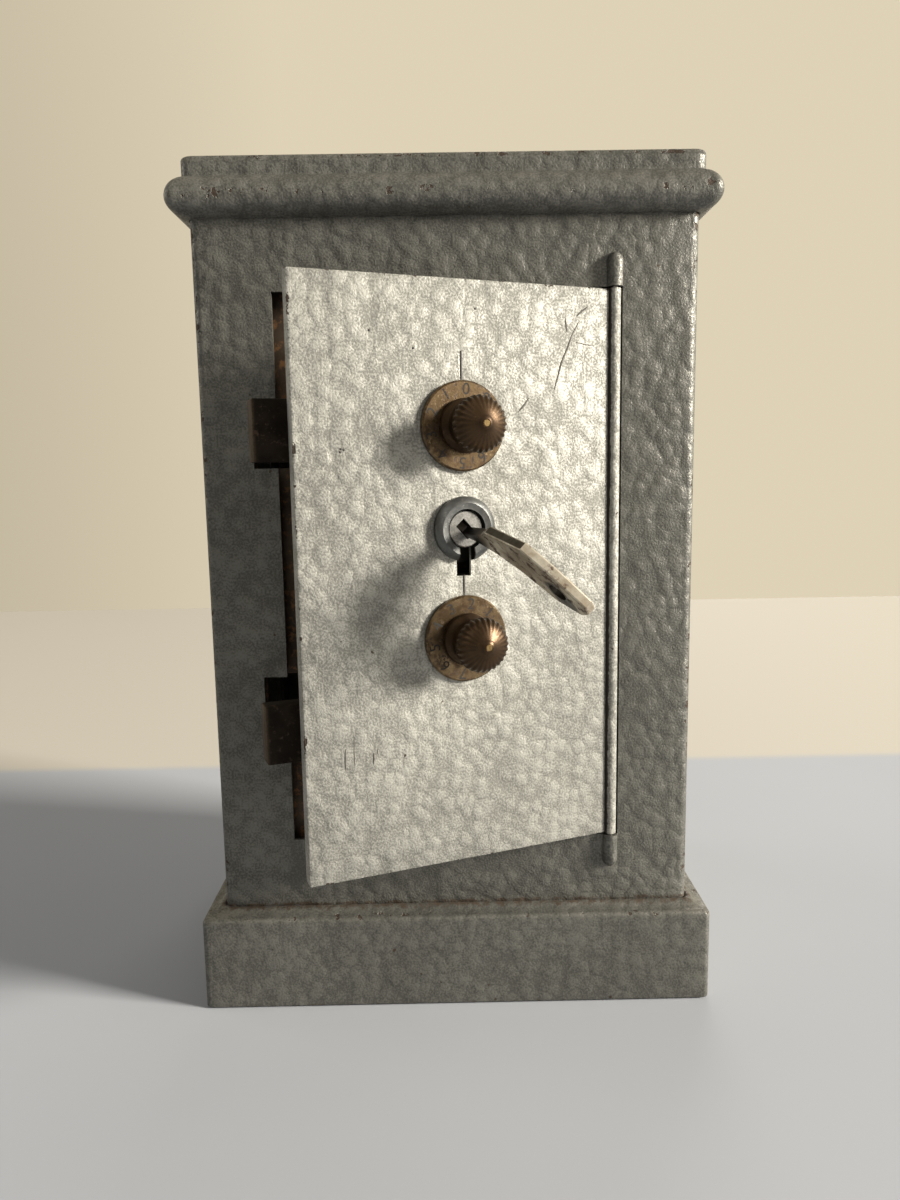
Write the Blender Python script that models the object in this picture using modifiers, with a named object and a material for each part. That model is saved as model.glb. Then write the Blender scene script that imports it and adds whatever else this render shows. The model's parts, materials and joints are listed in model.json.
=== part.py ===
"""Toy safe coin bank: folded sheet body, door left ajar, bolt work, two dials and a key."""
import math

import bmesh
import bpy
from mathutils import Vector

MM = 0.001

# Overall sizes
HEIGHT = 160.0 * MM
BODY_W = 91.6 * MM
BODY_D = 72.0 * MM
SHEET = 0.8 * MM
FOLD_R = 1.6 * MM
BACK_R = 0.2 * MM

# Clearances
SEAT = 0.1 * MM
FIT = 0.15 * MM
RUN = 0.3 * MM
OVER = 2.0 * MM

# Plinth and bottom tray
PLINTH_OVER = 3.9 * MM
PLINTH_FACE = 18.5 * MM
SHOULDER_RISE = 1.1 * MM
PLINTH_LIFT = 0.2 * MM
PLINTH_R = 1.2 * MM
TRAY_T = 0.9 * MM
TRAY_WALL = 6.0 * MM

# Cornice with its rolled bead and the coin slot
CORNICE_DROP = 10.6 * MM
BEAD_DROP = 7.4 * MM
BEAD_TOP_DROP = 3.5 * MM
BEAD_OVER = 3.5 * MM
STEP_OVER = 0.9 * MM
CORNICE_R = 1.8 * MM
CAP_T = 0.9 * MM
COIN_L = 34.0 * MM
COIN_W = 5.0 * MM

# Doorway in the front sheet: the sheet left at each side, below and above it
STILE_LEFT = 14.2 * MM
STILE_RIGHT = 13.85 * MM
SILL = 13.5 * MM
LINTEL = 12.6 * MM

# Hinge
PIN_R = 0.5 * MM
BARREL_R = 1.1 * MM
BARREL_GAP = 0.35 * MM
POCKET_R = 1.45 * MM
POCKET_TOP = 6.0 * MM
POCKET_LOW = 6.6 * MM
REST_ANGLE = math.radians(21.6)

# Door leaf
LEAF_T = 0.7 * MM
LEAF_GAP = 0.35 * MM
FREE_GAP = 2.1 * MM
FLANGE = 3.0 * MM
FLANGE_START = 4.0 * MM
LEAF_EDGE = 0.45 * MM

# Lock and dials on the leaf
CONTROL_SHIFT = 0.4 * MM
LOCK_RISE = 9.35 * MM
PLUG_R = 3.2 * MM
PLUG_SET = 1.1 * MM
COLLAR_W = 2.15 * MM
COLLAR_H = 1.8 * MM
KEYHOLE_W = 2.7 * MM
KEYHOLE_LIP = 2.65 * MM
INDEX_GAP = 3.4 * MM
DIAL_GAP = 4.25 * MM
DIAL_R = 7.7 * MM
DIAL_T = 1.0 * MM
SPINDLE_R = 1.0 * MM
KNOB_R = 4.75 * MM
KNOB_WAIST_R = 3.7 * MM
KNOB_BASE_R = 4.6 * MM
KNOB_TIP = 10.0 * MM
FLUTES = 28
FLUTE_DEPTH = 0.35 * MM

# Cam cups turned by the dials
CUP_R = 7.0 * MM
CUP_WALL = 0.8 * MM
CUP_DEEP = 2.3 * MM
GATE_GAP = 1.0 * MM
GATE_DEEP = 2.0 * MM
WASHER_R = 4.4 * MM
WASHER_T = 0.9 * MM

# Key and its drive
KEY_T = 1.8 * MM
BLADE_W = 3.0 * MM
BLADE_IN = 2.6 * MM
KEY_SHOULDER = -0.5 * MM
RING_HOLE_R = 1.8 * MM
RING_HOLE_ACROSS = 12.0 * MM
RING_HOLE_OUT = 20.2 * MM
KEY_ANGLE = math.radians(47.0)
KEY_TURN = math.radians(43.0)
DISC_T = 0.7 * MM
DISC_GAP = 0.5 * MM
DISC_RIM = 0.6 * MM
DRIVE_PIN_R = 0.9 * MM

# Bolt work
THROW = 3.5 * MM
BOLT_H = 10.4 * MM
BOLT_T = 4.0 * MM
BOLT_OUT = 5.3 * MM
BOLT_UP = 26.45 * MM
BOLT_DOWN = 25.25 * MM
BAR_T = 0.8 * MM
BAR_W = 6.0 * MM
BOLT_ROOT_IN = 1.0 * MM
FENCE_W = 2.6 * MM
FENCE_GAP = 1.8 * MM
YOKE_RIM = 2.6 * MM
RIVET_R = 1.0 * MM
RIVET_HEAD_R = 1.7 * MM
RIVET_HEAD_T = 0.8 * MM
GUIDE_GAP = 0.5 * MM
GUIDE_W = 3.4 * MM
GUIDE_FOOT = 5.0 * MM
GUIDE_EDGE = 1.9 * MM

# Keeper strip behind the doorway's free side
KEEPER_GAP = 0.3 * MM
KEEPER_LAP = 0.8 * MM
KEEPER_W = 12.8 * MM
KEEPER_PAST = 5.0 * MM
NOTCH_SIDE = 0.9 * MM
NOTCH_END = 0.6 * MM

# Back panel
BACK_FLANGE = 8.0 * MM

# Cover plate behind the lock
COVER_W = 29.6 * MM
COVER_GAP = 1.4 * MM
COVER_CLEAR = 1.1 * MM
PILLAR_R = 2.0 * MM
SPIGOT_R = 1.1 * MM
SPIGOT_PROUD = 0.6 * MM
PILLAR_IN = 3.6 * MM

# Derived places
HALF_W = BODY_W / 2
HALF_D = BODY_D / 2
FRONT_Y = -HALF_D
BODY_LOW = TRAY_T + SEAT
BODY_TOP = HEIGHT - CAP_T - SEAT
DOORWAY_LEFT = HALF_W - STILE_LEFT
DOORWAY_RIGHT = HALF_W - STILE_RIGHT
DOORWAY_LOW = PLINTH_FACE + SHOULDER_RISE + SILL
DOORWAY_TOP = HEIGHT - CORNICE_DROP - LINTEL
DOORWAY_MID = (DOORWAY_LOW + DOORWAY_TOP) / 2
HINGE_X = DOORWAY_RIGHT - BARREL_GAP - BARREL_R
LEAF_W = HINGE_X + DOORWAY_LEFT - FREE_GAP
LEAF_LOW = DOORWAY_LOW + LEAF_GAP
LEAF_TOP = DOORWAY_TOP - LEAF_GAP
LEAF_BACK = LEAF_T + SEAT
CONTROL_B = LEAF_W / 2 + CONTROL_SHIFT
COLLAR_R = PLUG_R + RUN + COLLAR_W
KEYHOLE_DROP = COLLAR_R + KEYHOLE_LIP
LOCK_Z = DOORWAY_MID + LOCK_RISE
UPPER_DIAL_Z = LOCK_Z + COLLAR_R + DIAL_GAP + DIAL_R
LOWER_DIAL_Z = LOCK_Z - KEYHOLE_DROP - INDEX_GAP - DIAL_R
CUP_FLOOR = LEAF_BACK + WASHER_T + SEAT
CUP_BACK = CUP_FLOOR + CUP_DEEP
GATE_W = FENCE_W + 2 * GATE_GAP
BAR_FRONT = CUP_BACK + RUN
GUIDE_B1 = LEAF_W - LEAF_T - GUIDE_EDGE
GUIDE_B0 = GUIDE_B1 - GUIDE_W
BAR_B1 = GUIDE_B0 - THROW - GUIDE_GAP
BAR_B0 = BAR_B1 - BAR_W
FENCE_R = CUP_R - CUP_WALL - FENCE_GAP
BOLT_ROOT = BAR_B0 + BOLT_ROOT_IN
BOLT_TIP = LEAF_W + BOLT_OUT
BOLT_FRONT = BAR_FRONT + BAR_T + SEAT
BOLT_BACK = BOLT_FRONT + BOLT_T
UPPER_BOLT_Z = DOORWAY_MID + BOLT_UP
LOWER_BOLT_Z = DOORWAY_MID - BOLT_DOWN
KEEPER_B0 = LEAF_W - KEEPER_LAP
KEEPER_B1 = KEEPER_B0 + KEEPER_W
COVER_B1 = BAR_B0 - COVER_GAP
COVER_B0 = COVER_B1 - COVER_W
COVER_FRONT = BOLT_BACK + COVER_CLEAR
DISC_BACK = BAR_FRONT - DISC_GAP
PLUG_BACK = DISC_BACK - DISC_T - SEAT
DRIVE_R = THROW / (2 * math.sin(KEY_TURN / 2))
DISC_R = DRIVE_R + DRIVE_PIN_R + DISC_RIM
NOTCH_B = math.hypot(BOLT_TIP, BOLT_BACK) + NOTCH_END


def clear_scene():
    """Remove whatever the file holds."""
    for obj in list(bpy.data.objects):
        bpy.data.objects.remove(obj, do_unlink=True)
    for coll in list(bpy.data.collections):
        bpy.data.collections.remove(coll)


clear_scene()
PARTS = bpy.data.collections.new("toy_safe_coin_bank")
CUTTERS = bpy.data.collections.new("cutters")
bpy.context.scene.collection.children.link(PARTS)
bpy.context.scene.collection.children.link(CUTTERS)


def finish(name, colour, roughness, metallic):
    """Make one Principled material."""
    mat = bpy.data.materials.new(name)
    mat.use_nodes = True
    shader = mat.node_tree.nodes["Principled BSDF"]
    shader.inputs["Base Color"].default_value = (*colour, 1.0)
    shader.inputs["Roughness"].default_value = roughness
    shader.inputs["Metallic"].default_value = metallic
    mat.diffuse_color = (*colour, 1.0)
    return mat


BODY_PAINT = ("hammered_paint", (0.42, 0.44, 0.42), 0.35, 0.6)
DOOR_PAINT = ("door_paint", (0.62, 0.63, 0.62), 0.3, 0.6)
DARK_STEEL = ("dark_steel", (0.20, 0.15, 0.11), 0.6, 0.7)
PLAIN_STEEL = ("plain_steel", (0.50, 0.49, 0.46), 0.4, 0.9)
BRONZE = ("bronze", (0.33, 0.20, 0.11), 0.35, 0.8)
BRASS = ("brass", (0.62, 0.46, 0.20), 0.35, 0.9)
ZINC = ("zinc", (0.55, 0.54, 0.50), 0.4, 0.9)


def axis_empty(name, place, turn=(0.0, 0.0, 0.0), parent=None):
    """Make an empty that stands on a joint axis."""
    obj = bpy.data.objects.new(name, None)
    obj.empty_display_size = 0.01
    obj.location = place
    obj.rotation_euler = turn
    obj.parent = parent
    PARTS.objects.link(obj)
    return obj


def solid(name, bm, look, parent=None):
    """Turn a bmesh into a named part with its own material."""
    bmesh.ops.recalc_face_normals(bm, faces=bm.faces)
    mesh = bpy.data.meshes.new(name)
    bm.to_mesh(mesh)
    bm.free()
    obj = bpy.data.objects.new(name, mesh)
    obj.parent = parent
    PARTS.objects.link(obj)
    mesh.materials.append(finish(name + "_" + look[0], look[1], look[2], look[3]))
    return obj


def tool(name, bm, parent=None):
    """Turn a bmesh into a hidden cutter."""
    bmesh.ops.recalc_face_normals(bm, faces=bm.faces)
    mesh = bpy.data.meshes.new(name)
    bm.to_mesh(mesh)
    bm.free()
    obj = bpy.data.objects.new(name, mesh)
    obj.parent = parent
    obj.hide_render = True
    obj.display_type = 'WIRE'
    CUTTERS.objects.link(obj)
    return obj


def boolean(obj, other, operation):
    """Add an exact Boolean to a part."""
    mod = obj.modifiers.new(other.name, 'BOOLEAN')
    mod.operation = operation
    mod.solver = 'EXACT'
    mod.object = other


def cut(obj, name, bm):
    """Take a shape away from a part, in that part's own frame."""
    boolean(obj, tool(obj.name + "_" + name, bm, obj.parent), 'DIFFERENCE')


def join(obj, name, bm):
    """Add a shape to a part, in that part's own frame."""
    boolean(obj, tool(obj.name + "_" + name, bm, obj.parent), 'UNION')


def box(x0, x1, y0, y1, z0, z1):
    """Box between two corners."""
    bm = bmesh.new()
    bmesh.ops.create_cube(bm, size=1.0)
    mid = Vector(((x0 + x1) / 2, (y0 + y1) / 2, (z0 + z1) / 2))
    size = Vector((abs(x1 - x0), abs(y1 - y0), abs(z1 - z0)))
    for v in bm.verts:
        v.co = mid + Vector((v.co.x * size.x, v.co.y * size.y, v.co.z * size.z))
    return bm


def loft(rings):
    """Skin closed rings of equal length and cap both ends."""
    bm = bmesh.new()
    rows = []
    for ring in rings:
        rows.append([bm.verts.new(p) for p in ring])
    count = len(rows[0])
    for low, high in zip(rows[:-1], rows[1:]):
        for i in range(count):
            j = (i + 1) % count
            bm.faces.new((low[i], low[j], high[j], high[i]))
    bm.faces.new(list(reversed(rows[0])))
    bm.faces.new(rows[-1])
    return bm


def prism(outline, lo, hi, axis):
    """Push a flat outline along an axis; the outline runs over the other two axes in order."""
    def at(p, q):
        if axis == 'X':
            return Vector((q, p[0], p[1]))
        if axis == 'Y':
            return Vector((p[0], q, p[1]))
        return Vector((p[0], p[1], q))
    return loft([[at(p, lo) for p in outline], [at(p, hi) for p in outline]])


def circle(radius, centre=(0.0, 0.0), count=32):
    """Points round a circle."""
    step = 2 * math.pi / count
    return [(centre[0] + radius * math.cos(i * step), centre[1] + radius * math.sin(i * step))
            for i in range(count)]


def round_rect(half_x, half_y, radius, back_radius=None, arc=4):
    """Rectangle with rounded corners, starting at the right front."""
    back = radius if back_radius is None else back_radius
    points = []
    corners = ((1, -1, radius, -90), (1, 1, back, 0), (-1, 1, back, 90), (-1, -1, radius, 180))
    for sx, sy, r, start in corners:
        cx = sx * (half_x - r)
        cy = sy * (half_y - r)
        for i in range(arc + 1):
            a = math.radians(start + 90.0 * i / arc)
            points.append((cx + r * math.cos(a), cy + r * math.sin(a)))
    return points


def lathe(profile, count=32):
    """Turn a profile of (radius, depth) about the Y axis; the profile closes through the axis."""
    rings = []
    for radius, depth in profile:
        rings.append([Vector((p[0], depth, p[1])) for p in circle(radius, count=count)])
    return loft(rings)


def rect_ring(overhang, z, corner):
    """Rounded rectangle round the body at one height."""
    points = round_rect(HALF_W + overhang, HALF_D + overhang, corner, BACK_R + overhang)
    return [Vector((p[0], p[1], z)) for p in points]


def body_outline(grow):
    """Outline of the folded body, grown or shrunk."""
    return round_rect(HALF_W + grow, HALF_D + grow, max(FOLD_R + grow, BACK_R), max(BACK_R + grow, BACK_R))


# Bottom tray
tray_out = PLINTH_OVER - SHEET - 2 * SEAT
base_tray = solid("base_tray", prism(body_outline(tray_out), 0.0, TRAY_WALL, 'Z'), PLAIN_STEEL)
cut(base_tray, "inside", prism(body_outline(tray_out - SHEET), TRAY_T, TRAY_WALL + OVER, 'Z'))

# Plinth skirt
plinth_rings = []
for over, z in ((PLINTH_OVER - 0.3 * MM, PLINTH_LIFT),
                (PLINTH_OVER, PLINTH_LIFT + 0.4 * MM),
                (PLINTH_OVER, PLINTH_FACE - 1.0 * MM),
                (PLINTH_OVER - 0.25 * MM, PLINTH_FACE - 0.35 * MM),
                (PLINTH_OVER - 0.9 * MM, PLINTH_FACE),
                (FIT + 0.9 * MM, PLINTH_FACE + 0.85 * SHOULDER_RISE),
                (FIT + 0.4 * MM, PLINTH_FACE + SHOULDER_RISE)):
    plinth_rings.append(rect_ring(over, z, PLINTH_R))
plinth = solid("plinth", loft(plinth_rings), BODY_PAINT)
cut(plinth, "inside", prism(body_outline(PLINTH_OVER - SHEET), -OVER, PLINTH_FACE - SHEET, 'Z'))
cut(plinth, "neck", prism(body_outline(FIT), TRAY_WALL, PLINTH_FACE + SHOULDER_RISE + OVER, 'Z'))

# Body shell, folded from one sheet round the front and both sides
body_shell = solid("body_shell",
                   prism(body_outline(0.0), BODY_LOW, BODY_TOP, 'Z'),
                   BODY_PAINT)
cut(body_shell, "inside",
    prism(round_rect(HALF_W - SHEET, HALF_D - SHEET, FOLD_R - SHEET), BODY_LOW - OVER, BODY_TOP + OVER, 'Z'))
cut(body_shell, "back",
    box(-HALF_W + SHEET, HALF_W - SHEET, HALF_D - 5 * SHEET, HALF_D + OVER, BODY_LOW - OVER, BODY_TOP + OVER))
pocket_low = DOORWAY_LOW - POCKET_LOW
pocket_top = DOORWAY_TOP + POCKET_TOP
for tag, z_open, z_end in (("pocket_top", DOORWAY_TOP, pocket_top), ("pocket_low", DOORWAY_LOW, pocket_low)):
    sign = 1.0 if z_end > z_open else -1.0
    rings = []
    for part, radius in ((z_open - sign * 0.4 * MM, POCKET_R),
                         (z_end - sign * POCKET_R, POCKET_R),
                         (z_end - sign * 0.5 * POCKET_R, 0.87 * POCKET_R),
                         (z_end - sign * 0.13 * POCKET_R, 0.5 * POCKET_R),
                         (z_end, 0.15 * POCKET_R)):
        rings.append([Vector((p[0], p[1], part)) for p in circle(radius, (HINGE_X, FRONT_Y), 20)])
    join(body_shell, tag, loft(rings))
cut(body_shell, "doorway",
    box(-DOORWAY_LEFT, DOORWAY_RIGHT, FRONT_Y - OVER, FRONT_Y + OVER, DOORWAY_LOW, DOORWAY_TOP))
notch_x = HINGE_X - NOTCH_B
for tag, z in (("upper_notch", UPPER_BOLT_Z), ("lower_notch", LOWER_BOLT_Z)):
    half = BOLT_H / 2 + NOTCH_SIDE
    cut(body_shell, tag,
        box(notch_x, -DOORWAY_LEFT + OVER, FRONT_Y - OVER, FRONT_Y + OVER, z - half, z + half))
pin_bore = PIN_R + FIT
cut(body_shell, "pin_bore",
    prism(circle(pin_bore, (HINGE_X, FRONT_Y), 16),
          pocket_low + POCKET_R / 2, pocket_top - POCKET_R / 2, 'Z'))

# Back panel with side flanges
back_x = HALF_W - SHEET - FIT
back_section = [(-back_x, HALF_D), (back_x, HALF_D), (back_x, HALF_D - BACK_FLANGE),
                (back_x - SHEET, HALF_D - BACK_FLANGE), (back_x - SHEET, HALF_D - SHEET),
                (-back_x + SHEET, HALF_D - SHEET), (-back_x + SHEET, HALF_D - BACK_FLANGE),
                (-back_x, HALF_D - BACK_FLANGE)]
back_panel = solid("back_panel", prism(back_section, BODY_LOW, BODY_TOP, 'Z'), BODY_PAINT)

# Cornice with its bead
bead_z = HEIGHT - BEAD_DROP
bead_top = HEIGHT - BEAD_TOP_DROP
low_z = HEIGHT - CORNICE_DROP
cornice_rings = []
for over, z in ((0.6 * MM, low_z),
                (0.6 * BEAD_OVER, low_z + 0.28 * (bead_z - low_z)),
                (0.9 * BEAD_OVER, low_z + 0.62 * (bead_z - low_z)),
                (BEAD_OVER, bead_z),
                (0.95 * BEAD_OVER, bead_z + 0.34 * (bead_top - bead_z)),
                (0.79 * BEAD_OVER, bead_z + 0.65 * (bead_top - bead_z)),
                (0.54 * BEAD_OVER, bead_z + 0.88 * (bead_top - bead_z)),
                (STEP_OVER, bead_top),
                (STEP_OVER, HEIGHT - 0.7 * MM),
                (STEP_OVER - 0.2 * MM, HEIGHT - 0.2 * MM),
                (STEP_OVER - 0.7 * MM, HEIGHT)):
    cornice_rings.append(rect_ring(over, z, CORNICE_R))
cornice = solid("cornice", loft(cornice_rings), BODY_PAINT)
cut(cornice, "inside", prism(body_outline(FIT), low_z - OVER, HEIGHT - CAP_T, 'Z'))
cut(cornice, "coin_slot",
    box(-COIN_L / 2, COIN_L / 2, -COIN_W / 2, COIN_W / 2, HEIGHT - CAP_T - OVER, HEIGHT + OVER))

# Keeper strip behind the doorway's free side
keep_d0 = FLANGE + KEEPER_GAP
keep_d1 = keep_d0 + SHEET
keep_x0 = HINGE_X - KEEPER_B1
keep_x1 = HINGE_X - KEEPER_B0
keep_section = [(keep_x0, FRONT_Y + SHEET + SEAT), (keep_x0 + SHEET, FRONT_Y + SHEET + SEAT),
                (keep_x0 + SHEET, FRONT_Y + keep_d0), (keep_x1, FRONT_Y + keep_d0),
                (keep_x1, FRONT_Y + keep_d1), (keep_x0, FRONT_Y + keep_d1)]
keeper_strip = solid("keeper_strip",
                     prism(keep_section, DOORWAY_LOW - KEEPER_PAST, DOORWAY_TOP + KEEPER_PAST, 'Z'),
                     DARK_STEEL)
for tag, z in (("upper_notch", UPPER_BOLT_Z), ("lower_notch", LOWER_BOLT_Z)):
    half = BOLT_H / 2 + NOTCH_SIDE
    cut(keeper_strip, tag,
        box(notch_x, keep_x1 + OVER, FRONT_Y + keep_d0 - OVER / 2, FRONT_Y + keep_d1 + OVER,
            z - half, z + half))

# Hinge pin
hinge_pin = solid("hinge_pin",
                  prism(circle(PIN_R, (HINGE_X, FRONT_Y), 16), pocket_low + POCKET_R / 2 + SEAT,
                        pocket_top - POCKET_R / 2 - SEAT, 'Z'), PLAIN_STEEL)

# Door frame of reference: the closed door lies along -X behind the hinge axis, then swings to rest
door_axis = axis_empty("door_axis", (HINGE_X, FRONT_Y, 0.0), (0.0, 0.0, REST_ANGLE))

# Door leaf, a shallow pan with a curled hinge barrel
door_leaf = solid("door_leaf",
                  box(-LEAF_W, -0.4 * MM, 0.0, FLANGE, LEAF_LOW, LEAF_TOP), DOOR_PAINT, door_axis)
edge = door_leaf.modifiers.new("edge", 'BEVEL')
edge.width = LEAF_EDGE
edge.segments = 2
edge.limit_method = 'ANGLE'
cut(door_leaf, "pan",
    box(-LEAF_W + LEAF_T, OVER, LEAF_T, FLANGE + OVER, LEAF_LOW + LEAF_T, LEAF_TOP - LEAF_T))
cut(door_leaf, "heel",
    box(-FLANGE_START, OVER, LEAF_T, FLANGE + OVER, LEAF_LOW - OVER, LEAF_TOP + OVER))
join(door_leaf, "barrel", prism(circle(BARREL_R, count=24), LEAF_LOW, LEAF_TOP, 'Z'))
cut(door_leaf, "bore", prism(circle(PIN_R + FIT, count=16), LEAF_LOW - OVER, LEAF_TOP + OVER, 'Z'))
for tag, z in (("upper_hole", UPPER_DIAL_Z), ("lower_hole", LOWER_DIAL_Z)):
    cut(door_leaf, tag, prism(circle(SPINDLE_R + RUN, (-CONTROL_B, z), 24), -OVER, LEAF_T + OVER, 'Y'))
cut(door_leaf, "lock_hole", prism(circle(PLUG_R + RUN, (-CONTROL_B, LOCK_Z), 32), -OVER, LEAF_T + OVER, 'Y'))
cut(door_leaf, "keyhole",
    box(-CONTROL_B - KEYHOLE_W / 2, -CONTROL_B + KEYHOLE_W / 2, -OVER, LEAF_T + OVER,
        LOCK_Z - KEYHOLE_DROP, LOCK_Z))

# Collar round the lock, with a notch at its foot
lock_axis = axis_empty("lock_axis", (-CONTROL_B, 0.0, LOCK_Z), parent=door_axis)
collar_bore = PLUG_R + RUN
lock_collar = solid("lock_collar",
                    lathe([(COLLAR_R, -SEAT), (COLLAR_R, -SEAT - 0.5 * COLLAR_H),
                           (COLLAR_R - 0.5 * MM, -SEAT - 0.86 * COLLAR_H),
                           (COLLAR_R - 1.1 * MM, -SEAT - COLLAR_H),
                           (collar_bore + 0.3 * MM, -SEAT - 0.9 * COLLAR_H)], 40), ZINC, lock_axis)
cut(lock_collar, "bore", prism(circle(collar_bore, count=32), -COLLAR_H - OVER, OVER, 'Y'))
cut(lock_collar, "notch",
    box(-KEYHOLE_W / 2, KEYHOLE_W / 2, -COLLAR_H - OVER, OVER, -COLLAR_R - OVER, 0.0))

# Cover plate on four pillars
cover_z0 = LOWER_DIAL_Z - CUP_R - PILLAR_IN
cover_z1 = UPPER_DIAL_Z + CUP_R + PILLAR_IN
lock_cover = solid("lock_cover",
                   box(-COVER_B1, -COVER_B0, COVER_FRONT, COVER_FRONT + SHEET,
                       cover_z0 - PILLAR_IN, cover_z1 + PILLAR_IN), PLAIN_STEEL, door_axis)
number = 0
for b in (COVER_B0 + PILLAR_IN, COVER_B1 - PILLAR_IN):
    for z in (cover_z0, cover_z1):
        number += 1
        name = "cover_pillar_%d" % number
        post = axis_empty(name + "_place", (-b, 0.0, z), parent=door_axis)
        spigot = COVER_FRONT + SHEET + SPIGOT_PROUD
        solid(name, lathe([(PILLAR_R, LEAF_BACK), (PILLAR_R, COVER_FRONT - SEAT),
                           (SPIGOT_R, COVER_FRONT - SEAT), (SPIGOT_R, spigot - 0.3 * MM),
                           (0.6 * SPIGOT_R, spigot)], 20), PLAIN_STEEL, post)
        cut(lock_cover, "hole_%d" % number,
            prism(circle(SPIGOT_R + FIT, (-b, z), 20), COVER_FRONT - OVER, COVER_FRONT + OVER, 'Y'))

# Bolt guides, one staple over each bolt
for tag, z in (("upper", UPPER_BOLT_Z), ("lower", LOWER_BOLT_Z)):
    inner = BOLT_H / 2 + RUN
    outer = inner + SHEET
    deep = BOLT_BACK + RUN
    foot = outer + GUIDE_FOOT
    near = LEAF_BACK
    hat = [(near, z - foot), (near + SHEET, z - foot), (near + SHEET, z - outer), (deep + SHEET, z - outer),
           (deep + SHEET, z + outer), (near + SHEET, z + outer), (near + SHEET, z + foot), (near, z + foot),
           (near, z + inner), (deep, z + inner), (deep, z - inner), (near, z - inner)]
    solid(tag + "_bolt_guide", prism(hat, -GUIDE_B1, -GUIDE_B0, 'X'), PLAIN_STEEL, door_axis)


def fluted_rings():
    """Rings of the knob from its foot to its fluted crown."""
    count = FLUTES * 4
    foot = -DIAL_T - 2 * SEAT
    tip = -KNOB_TIP
    tall = tip - foot
    table = ((KNOB_BASE_R, 0.0, 0.0), (KNOB_BASE_R, 0.16, 0.0), (KNOB_WAIST_R, 0.26, 0.0),
             (KNOB_WAIST_R, 0.44, 0.0), (KNOB_R, 0.50, 1.0), (KNOB_R, 0.64, 1.0), (0.93 * KNOB_R, 0.70, 1.0),
             (0.62 * KNOB_R, 0.86, 0.8), (0.36 * KNOB_R, 0.97, 0.35), (SPINDLE_R + 0.3 * MM, 1.0, 0.0))
    rings = []
    for radius, part, share in table:
        ring = []
        for i in range(count):
            a = 2 * math.pi * i / count
            dip = FLUTE_DEPTH * share * (0.5 - 0.5 * math.cos(FLUTES * a))
            reach = radius - dip
            ring.append(Vector((reach * math.cos(a), foot + tall * part, reach * math.sin(a))))
        rings.append(ring)
    return rings


# Dials: numbered plate, fluted knob, spindle, cam cup and spring washer
for tag, z in (("upper", UPPER_DIAL_Z), ("lower", LOWER_DIAL_Z)):
    turn = axis_empty(tag + "_dial_axis", (-CONTROL_B, 0.0, z), parent=door_axis)
    bore = SPINDLE_R + SEAT
    plate = solid(tag + "_dial",
                  lathe([(DIAL_R, -SEAT), (DIAL_R, -SEAT - 0.7 * DIAL_T),
                         (DIAL_R - 0.3 * MM, -SEAT - DIAL_T)], 64),
                  BRASS, turn)
    cut(plate, "bore", prism(circle(bore, count=20), -DIAL_T - OVER, OVER, 'Y'))
    knob = solid(tag + "_knob", loft(fluted_rings()), BRONZE, turn)
    cut(knob, "bore", prism(circle(bore, count=20), -KNOB_TIP - OVER, OVER, 'Y'))
    cup_front = CUP_FLOOR
    solid(tag + "_spindle",
          lathe([(0.5 * SPINDLE_R, -KNOB_TIP - 0.55 * MM), (SPINDLE_R, -KNOB_TIP - 0.2 * MM),
                 (SPINDLE_R, cup_front + CUP_WALL + SEAT), (2 * SPINDLE_R, cup_front + CUP_WALL + SEAT),
                 (2 * SPINDLE_R, CUP_BACK - 0.4 * MM), (1.4 * SPINDLE_R, CUP_BACK)], 20), BRASS, turn)
    cup = solid(tag + "_cam_cup", lathe([(CUP_R, cup_front), (CUP_R, CUP_BACK)], 48), BRASS, turn)
    cut(cup, "inside", prism(circle(CUP_R - CUP_WALL, count=48), cup_front + CUP_WALL, CUP_BACK + OVER, 'Y'))
    cut(cup, "bore", prism(circle(bore, count=20), cup_front - OVER, cup_front + OVER, 'Y'))
    cut(cup, "gate",
        box(-CUP_R - OVER, -CUP_R + GATE_DEEP, cup_front - OVER, CUP_BACK + OVER, -GATE_W / 2, GATE_W / 2))
    washer = solid(tag + "_spring_washer",
                   lathe([(WASHER_R, LEAF_BACK), (WASHER_R, cup_front - SEAT)], 32), PLAIN_STEEL, turn)
    cut(washer, "bore", prism(circle(SPINDLE_R + RUN, count=20), 0.0, cup_front + OVER, 'Y'))

# Key, leaning in its keyway; the outline runs over (across, outwards)
key_axis = axis_empty("key_axis", (0.0, 0.0, 0.0), (0.0, KEY_ANGLE, 0.0), lock_axis)
blade = BLADE_W / 2
KEY_OUTLINE = ((-blade, BLADE_IN), (blade, BLADE_IN), (blade, -1.6 * MM), (2.2 * MM, -4.0 * MM),
               (4.6 * MM, -8.4 * MM), (8.2 * MM, -12.4 * MM), (14.6 * MM, -17.0 * MM),
               (17.2 * MM, -21.8 * MM), (16.6 * MM, -24.4 * MM), (14.8 * MM, -25.5 * MM),
               (6.85 * MM, -22.4 * MM), (2.4 * MM, -19.7 * MM), (-0.6 * MM, -11.1 * MM),
               (0.2 * MM, -8.0 * MM), (0.2 * MM, KEY_SHOULDER), (-blade, KEY_SHOULDER + 0.5 * MM))
key = solid("key", loft([[Vector((p[0], p[1], s * KEY_T / 2)) for p in KEY_OUTLINE] for s in (-1.0, 1.0)]),
            PLAIN_STEEL, key_axis)
soft = key.modifiers.new("soft", 'BEVEL')
soft.width = 0.3 * MM
soft.segments = 2
soft.limit_method = 'ANGLE'
soft.angle_limit = math.radians(60.0)
ring_hole = circle(RING_HOLE_R, (RING_HOLE_ACROSS, -RING_HOLE_OUT), 20)
cut(key, "ring_hole", prism(ring_hole, -KEY_T, KEY_T, 'Z'))

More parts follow.
